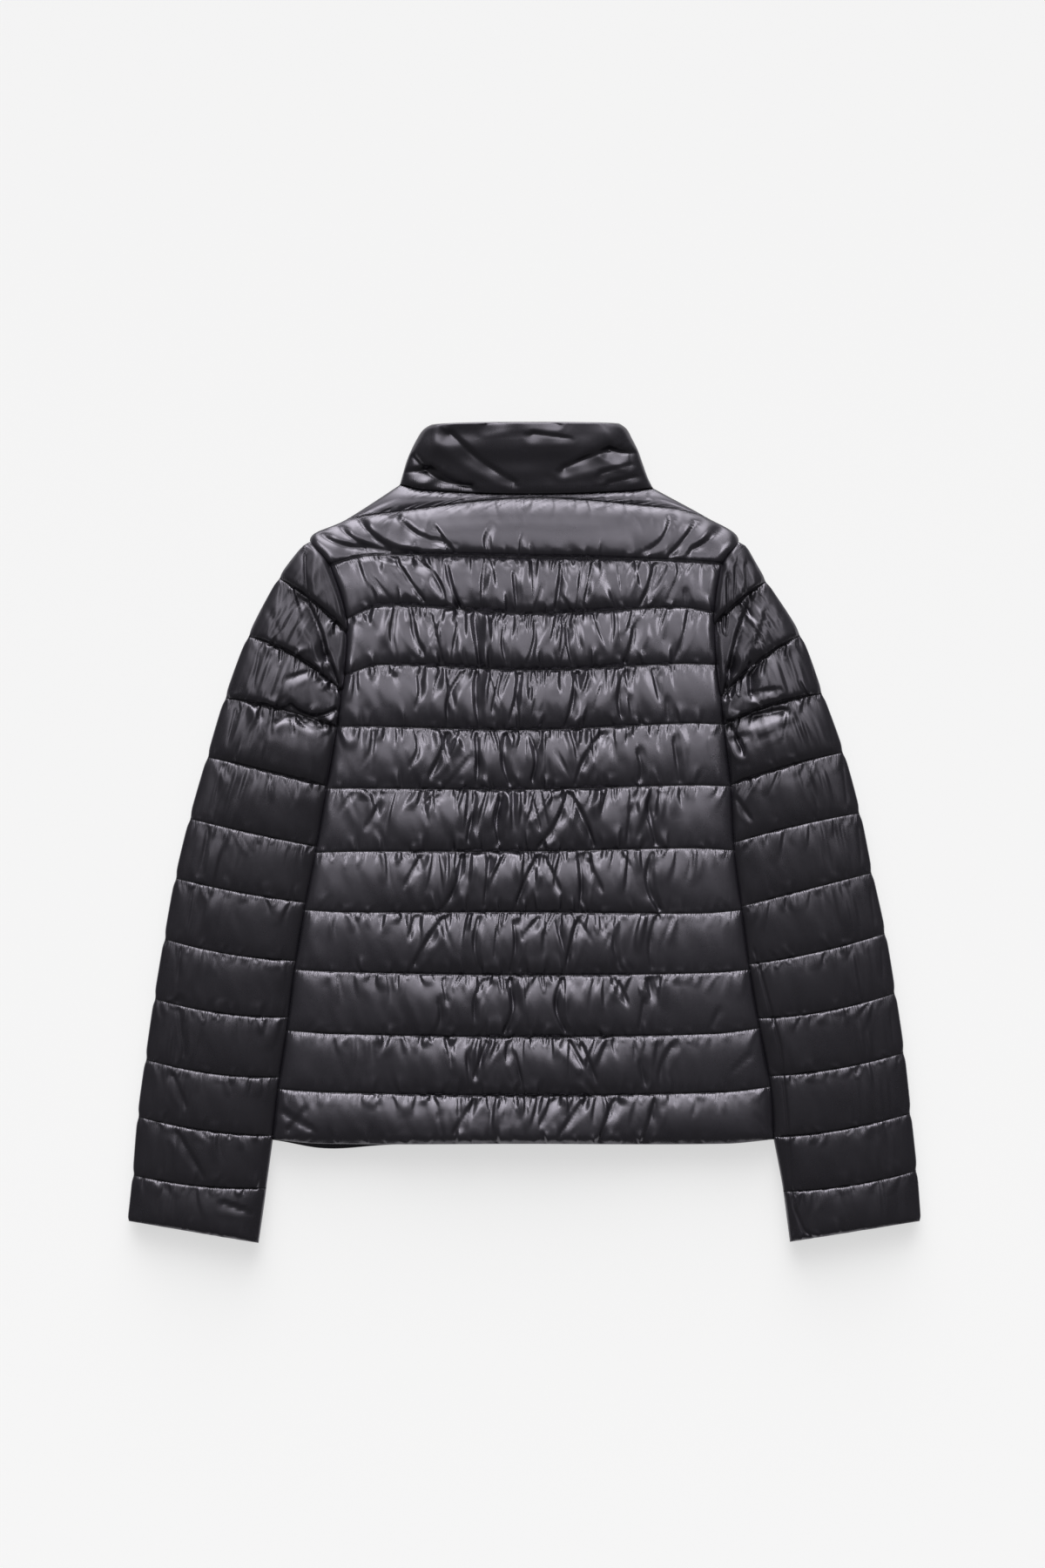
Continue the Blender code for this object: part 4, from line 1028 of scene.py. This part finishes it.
def makeSleeve(name, lines, side):
    seams = np.arange(len(lines), dtype=float)
    coarse = seamSteps(seams, sleeves["coarseRows"], shell["coarseCrowd"])
    along = np.linspace(0, 1, sleeves["coarseColumns"])
    plain = sleeveSurface(lines, side, coarse, along, True)[0]
    gather = np.full(plain.shape[:2], side * sleeves["gather"])
    rest = stretchedOut(plain, gather, shell["lengthGather"])
    full = fullness(plain, upperBase, padding["sleevePuff"])
    start = sunkStart(plain, full, sleeveFolds, 41 + side)
    moved = inflate(name + "_cloth", plain, start, rest, onSeam(coarse, seams))
    moved *= padding["sleeveBulge"] * easeIn(widthOf(plain) / sleeves["bulgeWidth"])[:, None]
    places = seamSteps(seams, sleeves["rows"])
    fineAlong = bothEnds(sleeves["columns"], sleeves["crowd"])
    top, edge = sleeveSurface(lines, side, places, fineAlong, True)
    top += onFinerGrid(moved, coarse, places, seams, along, fineAlong)
    x, y = top[..., 0], top[..., 1]
    rise = pleatRise(x, y, places, seams, 51 + side, sleeveLife)
    outward = (1 - fineAlong)[None, :] * widthOf(top)
    wrinkles = drift(outward, y / sleeves["wrinkleStretch"], sleeves["wrinkleSize"], 57 + side)
    wrinkles = wrinkles * bell(outward - sleeves["wrinkleFar"], sleeves["wrinkleSpread"])
    rise += sleeves["wrinkle"] * wrinkles
    if side > 0:
        rise -= sleeves["seamGroove"] * bell(toLine(x, y, sleeves["seam"]), sleeves["seamWidth"])
    sunk, run, away = quilted(top, places, seams, 61 + side)
    sunk -= crumple(x, y, 63 + side, sleeveLife) * freed(away)
    top[..., 2] += edge * (rise - sunk - freed(away) * creases(x, y, sleeveFolds))
    top[..., 2] = np.maximum(top[..., 2], upperBase + sleeves["thinnest"])
    top[:, -1, 2] = garment["midLevel"]
    underAlong = bothEnds(sleeves["underColumns"])[::-1][1:]
    under, edge = sleeveSurface(lines, side, places, underAlong, False)
    underAway = seamDistances(places, seams, under)[0]
    under[..., 2] += edge * pressedGrooves(underAway)
    under[..., 2] = np.clip(under[..., 2], 0, lowerBase - sleeves["thinnest"])
    loops = np.concatenate([top, under, sleeveInside(lines, side, places)], axis=1)
    rows, count = loops.shape[:2]
    faces = gridFaces(rows, count, wrap=True).tolist()
    faces += [tuple(range(count)), tuple(range((rows - 1) * count, rows * count))]
    piece = newPiece(name, loops, faces)
    faceOut(piece)
    spare = np.full((rows, 4), stitches["nowhere"])
    run = np.concatenate([run, under[..., 0] - under[:, [0], 0], spare], axis=1)
    away = np.concatenate([away, underAway, spare], axis=1)
    lay(piece, run, away, 0)
    return piece


sleevePieces = [
    makeSleeve("sleeve_left_shell", leftLines, -1),
    makeSleeve("sleeve_right_shell", rightLines, 1),
]
print("sleeves made")

# Collar: its back half on top, its two ends below, meeting at the zip
stand = {
    "rows": 64,
    "backColumns": 150,
    "frontColumns": 30,
    "rowCrowd": 0.35,
    "columnCrowd": 0.5,
    "smile": 2.2,
    "topRound": 2.2,
    "lowestShare": 0.62,  # its height beside the neck seam, as a share of that at its top
    "climb": 1.25,
    "foldDepth": 1.3,
    "foldWidth": 1.6,
    "unevenness": 0.7,
    "lumps": 12.0,
    "lumpStretch": 2.2,
}


def makeCollar():
    last = len(collarLines) - 1
    places = last * bothEnds(stand["rows"], stand["rowCrowd"])
    lines = (throughRows(column(collarLines, n), places)[:, None] for n in range(1, 6))
    leftX, leftY, centreY, rightY, rightX = lines
    middle, half = (leftX + rightX) / 2, (rightX - leftX) / 2
    ends = dipped(collarLines[-1][3] - centreY, stand["topRound"], padding["collarTopDip"])
    ends = ends * dipped(centreY - collarLines[0][3], garment["seamRound"], padding["neckDip"])
    zipHalf = garment["zipHalf"]
    inFront = (1 - np.cos(np.pi * np.arange(stand["frontColumns"]) / stand["frontColumns"])) / 2
    inBack = bothEnds(stand["backColumns"], stand["columnCrowd"])
    x = np.concatenate([
        -zipHalf + (leftX + zipHalf) * inFront,
        leftX + (rightX - leftX) * inBack,
        zipHalf + (rightX - zipHalf) * inFront[::-1],
    ], axis=1)
    front = np.ones(x.shape[1], bool)
    front[stand["frontColumns"]: stand["frontColumns"] + stand["backColumns"]] = False
    fold = [stand["frontColumns"], stand["frontColumns"] + stand["backColumns"] - 1]
    across = (x - middle) / half
    y = centreY + (np.where(across < 0, leftY, rightY) - centreY) * np.abs(across) ** stand["smile"]
    y[0] = bodyLine(np.clip(across[0], -1, 1), 0)[0] + garment["neckSeamGap"]
    y = y - np.where(front, neckDrop(x, 0), 0)
    edge = rounded(half - np.abs(x - middle), np.minimum(garment["sideRound"], half)) * ends
    edge = edge * np.where(front, dipped(np.abs(x) - zipHalf, garment["zipRound"], padding["zipDip"]), 1)
    lowest = garment["edgeRise"]
    up = (centreY - centreY[0]) / (centreY[-1] - centreY[0])
    share = stand["lowestShare"] + (1 - stand["lowestShare"]) * easeIn(stand["climb"] * up)
    height = lowest + (padding["collarRise"] * share - lowest) * edge
    height -= stand["foldDepth"] * creases(x, y, collarFolds, stand["foldWidth"]) * edge
    height += stand["unevenness"] * drift(x / stand["lumpStretch"], y, stand["lumps"], 71) * edge
    height = np.maximum(height, lowest)
    depth = lowest + (lowerBase - lowest) * edge
    z = np.where(front, lowerBase - depth, upperBase + height)
    z[:, fold] = garment["midLevel"]
    outer = np.stack([x, y, z], axis=-1)
    squeeze = (half - garment["wallAtFold"]) / half
    atZip = front & (np.abs(x) <= zipHalf + 0.01)
    innerX = np.where(atZip, x, middle + (x - middle) * squeeze)
    innerZ = np.where(front, lowerBase, upperBase) * np.ones(x.shape)
    innerZ[:, fold] = garment["midLevel"]
    inner = np.stack([innerX, y, innerZ], axis=-1)
    faces = gridFaces(*x.shape)
    border = borderOf(*x.shape)
    after = np.roll(border, -1)
    rim = np.stack([border, after, after + x.size, border + x.size], axis=1)
    faces = np.concatenate([faces, faces[:, ::-1] + x.size, rim]).tolist()
    piece = newPiece("collar_shell", np.concatenate([outer.reshape(-1, 3), inner.reshape(-1, 3)]), faces)
    faceOut(piece)
    lay(piece, x - x[:, [0]], np.abs(y - y[[0]]), x.size)
    return piece


collarPiece = makeCollar()
print("collar made")

# Zip: the turns of its coil, and a rim on both faces of the pull tab
zipTrim = {
    "pitch": 1.5,
    "turn": (0.3, 0.42, 0.34),  # radius of a turn, from the middle of the zip outwards
    "reach": (-0.7, 0.1, 2.25),
    "level": 4.6,
    "ends": (-277.5, 315.5),
    "covered": (302.0, 314.0),  # the slider hides this stretch
    "rim": 0.18,
    "faces": (1.38, 2.28),
    "outline": (
        (-1.75, 304.3), (1.75, 304.3), (2.2, 286.2), (1.3, 284.7), (-1.3, 284.7), (-2.2, 286.2),
    ),
}


def rod(path, radii, closed=False):
    # points and faces of a six-sided rod along a level path
    path, up = np.asarray(path, float), np.array((0.0, 0.0, 1.0))
    if closed:
        ahead = np.roll(path, -1, axis=0) - np.roll(path, 1, axis=0)
    else:
        ahead = np.gradient(path, axis=0)
    side = np.cross(ahead, up)
    side /= np.linalg.norm(side, axis=1, keepdims=True)
    turn = (np.arange(6) * math.pi / 3)[None, :, None]
    out = side[:, None] * np.cos(turn) + up * np.sin(turn)
    points = (path[:, None] + out * np.broadcast_to(radii, len(path))[:, None, None]).reshape(-1, 3)
    faces = gridFaces(len(path), 6, wrap=True, ring=closed).tolist()
    if not closed:
        faces += [tuple(range(6)), tuple(range(len(points) - 6, len(points)))]
    return points, faces


def manyRods(name, rods):
    points, faces = [], []
    for spots, sides in rods:
        faces += [tuple(corner + len(points) for corner in face) for face in sides]
        points += spots.tolist()
    piece = newPiece(name, points, faces)
    faceOut(piece)
    return piece


def makeCoil():
    low, high = zipTrim["ends"]
    turns = []
    for n in range(int((high - low) / zipTrim["pitch"])):
        for side in (-1, 1):
            y = low + (n + 0.25 * side) * zipTrim["pitch"]
            if not zipTrim["covered"][0] < y < zipTrim["covered"][1]:
                path = [(side * x, y, zipTrim["level"]) for x in zipTrim["reach"]]
                turns.append(rod(path, zipTrim["turn"]))
    return manyRods("zip_coil", turns)


def makePullRim():
    rods = []
    for level in zipTrim["faces"]:
        path = [(x, y, level) for x, y in zipTrim["outline"]]
        rods.append(rod(path, zipTrim["rim"], closed=True))
    return manyRods("pull_rim", rods)


coilPiece = makeCoil()
rimPiece = makePullRim()
print("zip trim made")


class Shade:
    # wraps a node's socket, so that shader maths is written as Python
    def __init__(self, tree, socket=None, source=None):
        self.tree, self.socket, self.source = tree, socket, source

    def node(self, kind, sockets=None, out=0, **settings):
        made = self.tree.nodes.new("ShaderNode" + kind)
        for name, value in settings.items():
            setattr(made, name, value)
        for name, value in (sockets or {}).items():
            if isinstance(value, Shade):
                self.tree.links.new(value.socket, made.inputs[name])
            else:
                made.inputs[name].default_value = value
        return Shade(self.tree, made.outputs[out] if made.outputs else None, made)

    def maths(self, operation, *values):
        return self.node("Math", dict(enumerate(values)), operation=operation)

    def __add__(self, other):
        return self.maths("ADD", self, other)

    def __sub__(self, other):
        return self.maths("SUBTRACT", self, other)

    def __mul__(self, other):
        return self.maths("MULTIPLY", self, other)

    def __truediv__(self, other):
        return self.maths("DIVIDE", self, other)

    def __rsub__(self, other):
        return self.maths("SUBTRACT", other, self)

    def __rtruediv__(self, other):
        return self.maths("DIVIDE", other, self)

    __radd__ = __add__
    __rmul__ = __mul__

    def clamped(self, low=0.0, high=1.0):
        return self.maths("MINIMUM", self.maths("MAXIMUM", self, low), high)

    def place(self, space="Object"):
        # x and y of the point that is shaded
        split = self.node("SeparateXYZ", {"Vector": self.node("TexCoord", out=space)})
        return [Shade(self.tree, split.source.outputs[name]) for name in ("X", "Y")]

    def noise(self, size, detail=2.0, roughness=0.5):
        # smooth noise from 0 to 1 with lumps of about this many millimetres
        place = self.node("TexCoord", out="Object")
        sockets = {"Vector": place, "Scale": 1000 / size, "Detail": detail, "Roughness": roughness}
        return self.node("TexNoise", sockets, out="Fac")

    def mixed(self, first, second, share):
        # from one colour to another
        return self.node("Mix", {6: first, 7: second, 0: share}, out=2, data_type="RGBA")


def newMaterial(name):
    made = bpy.data.materials.new(name)
    made.use_nodes = True
    made.node_tree.nodes.clear()
    return made, Shade(made.node_tree)


def finishMaterial(graph, shader):
    graph.node("OutputMaterial", {"Surface": shader})


# Glossy near-black nylon
nylon = {
    "colour": (0.0062, 0.0058, 0.0078, 1),
    # lighter colour, reached in random worn patches and in the painted highlight beside the stitches
    "wornAndSheenColour": (0.011, 0.0103, 0.013, 1),
    "gloss": (0.925, 0.875, 1.0, 1),  # tints the reflections
    "ior": 1.8,
    "roughness": 0.29,
    "roughnessSpread": 0.08,
    "patches": 40.0,  # millimetres from a duller patch to a glossier one
    "patchWear": 0.6,
    # painted highlight: how much lighter the colour gets close to the stitches
    "stitchSheen": 0.25,
    "threads": 0.42,  # millimetres from thread to thread
    "threadBump": 0.0015,
    "crinkle": 3.4,
    "crinkleBump": 0.012,
    "stitchHalf": 0.6,  # half the width of the sewing thread
    "stitchEdge": 4.0,
    "stitchRoughness": 0.7,
    "stitchIor": 1.35,
    "teeth": 2.0,  # little creases that stand on the stitches
    "teethChange": 60.0,  # how often they change in a metre down the garment
    "teethSharpness": 5.0,
    "teethReach": 3.2,
    "teethReaches": (0.3, 1.6),  # the shortest, as a share of it, and what noise adds
    "teethBump": 0.34,
}


def makeNylon():
    made, g = newMaterial("shell_nylon")
    x, y = g.place()
    run = g.node("Attribute", out="Fac", attribute_name="stitchRun")
    away = g.node("Attribute", out="Fac", attribute_name="stitchAway")
    turns = 2 * math.pi * 1000 / nylon["threads"]
    weave = g.maths("SINE", x * turns) * g.maths("SINE", y * turns)
    crinkle = g.noise(nylon["crinkle"], 3.0, 0.55)
    patch = g.noise(nylon["patches"])
    spot = g.node("CombineXYZ", {"X": run / nylon["teeth"], "Y": y * nylon["teethChange"]})
    teeth = g.node("TexNoise", {"Vector": spot, "Scale": 1.0, "Detail": 1.0}, out="Fac")
    teeth = (g.maths("ABSOLUTE", teeth - 0.5) * nylon["teethSharpness"]).clamped()
    shortest, added = nylon["teethReaches"]
    reach = nylon["teethReach"] * (shortest + g.noise(5, 1.0) * added)
    nearStitch = g.maths("EXPONENT", away / reach * -1)
    height = weave * nylon["threadBump"] + crinkle * nylon["crinkleBump"]
    height = height + teeth * nearStitch * nylon["teethBump"]
    bump = g.node("Bump", {"Height": height, "Strength": 1.0, "Distance": mm})
    # colour lighter in random worn patches, plus a painted highlight that lightens it near the stitches
    wear = (patch * nylon["patchWear"] + nearStitch * nylon["stitchSheen"]).clamped()
    colour = g.mixed(nylon["colour"], nylon["wornAndSheenColour"], wear)
    roughness = (patch + crinkle - 1) * nylon["roughnessSpread"] + nylon["roughness"]
    sockets = {"Base Color": colour, "Roughness": roughness.clamped(0.2, 0.8), "Normal": bump}
    sockets["Specular Tint"] = nylon["gloss"]
    sockets["IOR"] = nylon["ior"]
    cloth = g.node("BsdfPrincipled", sockets)
    sockets = {"Base Color": nylon["colour"], "Roughness": nylon["stitchRoughness"]}
    sockets["IOR"] = nylon["stitchIor"]
    stitch = g.node("BsdfPrincipled", sockets)
    onStitch = ((nylon["stitchHalf"] - away) * nylon["stitchEdge"]).clamped()
    finishMaterial(g, g.node("MixShader", {0: onStitch, 1: cloth, 2: stitch}))
    return made


# Zip tape, coil and metal
zipFinish = {
    "tape": (0.011, 0.011, 0.013, 1),
    "tapeWorn": (0.019, 0.019, 0.021, 1),
    "rib": 0.6,  # millimetres from one rib of the tape to the next
    "ribBump": 0.12,
    "fuzzBump": 0.08,
    "tapeRoughness": 0.7,
    "tapeSpread": 0.2,  # from the smoothest spots to the roughest
    "coil": (0.012, 0.012, 0.013, 1),
    "coilRoughness": 0.38,
    "coilSpread": 0.2,
    "coilBump": 0.05,
    "metal": (0.035, 0.035, 0.038, 1),
    "metalWorn": (0.10, 0.10, 0.105, 1),
    "metalRoughness": 0.365,
    "metalSpread": 0.25,
    "metalBump": 0.03,
    "metallic": 0.75,
    "wearFrom": 0.58,  # the higher, the less of it is worn
    "wearEdge": 5.0,
}


def makeTape():
    made, g = newMaterial("zip_tape_weave")
    x, y = g.place()
    rib = 2 * math.pi * 1000 / zipFinish["rib"]
    lean = g.maths("ABSOLUTE", x) * rib + y * rib
    height = g.maths("SINE", lean) * zipFinish["ribBump"] + g.noise(0.5) * zipFinish["fuzzBump"]
    tone = g.noise(9, 3.0)
    colour = g.mixed(zipFinish["tape"], zipFinish["tapeWorn"], tone)
    bump = g.node("Bump", {"Height": height, "Distance": mm})
    roughness = ((tone - 0.5) * zipFinish["tapeSpread"] + zipFinish["tapeRoughness"]).clamped()
    sockets = {"Base Color": colour, "Roughness": roughness, "Normal": bump}
    finishMaterial(g, g.node("BsdfPrincipled", sockets))
    return made


def makeCoilPlastic():
    made, g = newMaterial("zip_coil_plastic")
    speck = g.noise(0.8)
    roughness = (speck - 0.5) * zipFinish["coilSpread"] + zipFinish["coilRoughness"]
    bump = g.node("Bump", {"Height": speck * zipFinish["coilBump"], "Distance": mm})
    sockets = {"Base Color": zipFinish["coil"], "Roughness": roughness, "Normal": bump}
    finishMaterial(g, g.node("BsdfPrincipled", sockets))
    return made


def makeZipMetal():
    made, g = newMaterial("zip_painted_metal")
    speck = g.noise(0.7, 4.0, 0.6)
    wear = ((g.noise(2.5, 4.0, 0.7) - zipFinish["wearFrom"]) * zipFinish["wearEdge"]).clamped()
    colour = g.mixed(zipFinish["metal"], zipFinish["metalWorn"], wear)
    roughness = (speck - 0.5) * zipFinish["metalSpread"] + zipFinish["metalRoughness"]
    bump = g.node("Bump", {"Height": speck * zipFinish["metalBump"], "Distance": mm})
    sockets = {"Base Color": colour, "Roughness": roughness.clamped(0.1, 0.9), "Normal": bump}
    sockets["Metallic"] = zipFinish["metallic"]
    finishMaterial(g, g.node("BsdfPrincipled", sockets))
    return made


shellNylon = makeNylon()
zipTape, zipCoil, zipMetal = makeTape(), makeCoilPlastic(), makeZipMetal()
for piece, material in ((coilPiece, zipCoil), (rimPiece, zipMetal)):
    piece.data.materials.append(material)
for node, material in (("zip", zipTape), ("zip_slider", zipMetal), ("zip_pull", zipMetal)):
    for holder in bpy.data.objects[node].material_slots:
        holder.material = material
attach(coilPiece, "jacket")
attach(rimPiece, "pull_tab")
shellPieces = [backPiece, *frontPieces, *sleevePieces, collarPiece]
shellNodes = ("back", "front_left", "front_right", "sleeve_left", "sleeve_right", "collar")
for piece, node in zip(shellPieces, shellNodes):
    piece.data.materials.append(shellNylon)
    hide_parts(node)
    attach(piece, "jacket")
# Floor, lights and camera
studio = {
    "floorGlow": 0.603,  # the floor is a light table, so that shadows stay pale
    "floorTone": 0.45,
    "floorFade": 0.02,  # it is this much darker for each metre towards the light
    "floorHalf": 6000.0,
    "dimmest": 0.125,
    "overhead": 0.06,
    "beyond": 6.0,  # how fast the room brightens past the collar
    "width": 0.36,
    "aside": -0.04,
    "brightest": 8.0,
    "fillPower": 2.0,
    "fillPlace": (0.0, 0.36, 1.0),
    "fillSize": (0.7, 0.6),
    "rakePower": 5.8,
    "rakePlace": (0.62, 0.6, 1.0),
    "rakeSize": (0.35, 0.6),
    "neckPower": 1.5,
    "neckPlace": (0.0, 0.85, 1.0),
    "neckSize": (0.6, 0.35),
    "capPower": 1.4,
    "capPlace": (0.5, 0.5, 1.0),
    "capSize": (0.5, 0.7),
    "glowPower": 0.12,
    "glowPlace": (0.0, -0.02, 1.0),
    "glowSize": (0.6, 1.1),
    "viewHeight": 1422.0,  # millimetres of garment and floor from the picture's top to its bottom
    "centre": (-1.6, 44.0),
    "lens": 85.0,
    "sensor": 36.0,
}


def makeFloor():
    made, g = newMaterial("pale_floor")
    tone = (studio["floorTone"] - g.place()[1] * studio["floorFade"]).clamped(0.05, 0.9)
    colour = g.node("CombineColor", {"Red": tone, "Green": tone, "Blue": tone})
    sockets = {"Base Color": colour, "Roughness": 0.9, "Specular IOR Level": 0.0}
    sockets["Emission Color"] = (1, 1, 1, 1)
    sockets["Emission Strength"] = studio["floorGlow"]
    finishMaterial(g, g.node("BsdfPrincipled", sockets))
    half = studio["floorHalf"]
    corners = [(-half, -half, 0), (half, -half, 0), (half, half, 0), (-half, half, 0)]
    floor = newPiece("floor", corners, [(0, 1, 2, 3)])
    floor.data.materials.append(made)


def addLamp(name, pieces, side=1):
    # a lamp that lights only these pieces
    lamp = bpy.data.objects.new(name, bpy.data.lights.new(name, "AREA"))
    lamp.data.energy = studio[name + "Power"]
    lamp.data.shape = "RECTANGLE"
    lamp.data.size, lamp.data.size_y = studio[name + "Size"]
    lamp.location = studio[name + "Place"]
    lamp.location.x *= side
    lamp.visible_camera = False
    lit = bpy.data.collections.new(name)
    for piece in pieces:
        lit.objects.link(piece)
    lamp.light_linking.receiver_collection = lit
    bpy.context.scene.collection.objects.link(lamp)


def makeLights():
    # a dim room that brightens past the collar, and lamps above for some pieces each
    scene = bpy.context.scene
    world = bpy.data.worlds.new("studio")
    world.use_nodes = True
    world.node_tree.nodes.clear()
    g = Shade(world.node_tree)
    x, y = g.place("Generated")
    aside = (x - studio["aside"]) / studio["width"]
    rise = y * studio["beyond"] - aside * aside
    glow = studio["overhead"] * g.maths("EXPONENT", rise)
    strength = studio["dimmest"] + glow.clamped(0, studio["brightest"])
    room = g.node("Background", {"Color": (1, 1, 1, 1), "Strength": strength})
    g.node("OutputWorld", {"Surface": room})
    scene.world = world
    body = [backPiece, *frontPieces]
    addLamp("fill", body)
    addLamp("glow", body)
    addLamp("neck", [collarPiece])
    for side in (-1, 1):
        addLamp("rake", body, side)
        addLamp("cap", sleevePieces, side)
    scene.view_settings.view_transform = "Standard"


def makeCamera():
    camera = bpy.data.objects.new("camera", bpy.data.cameras.new("camera"))
    camera.data.lens = studio["lens"]
    camera.data.sensor_width = studio["sensor"]
    camera.data.clip_end = 20
    distance = studio["viewHeight"] * studio["lens"] / studio["sensor"]
    x, y = studio["centre"]
    camera.location = (x * mm, y * mm, (garment["midLevel"] + distance) * mm)
    bpy.context.scene.collection.objects.link(camera)
    bpy.context.scene.camera = camera


makeFloor()
makeLights()
makeCamera()
print("floor, lights and camera ready")
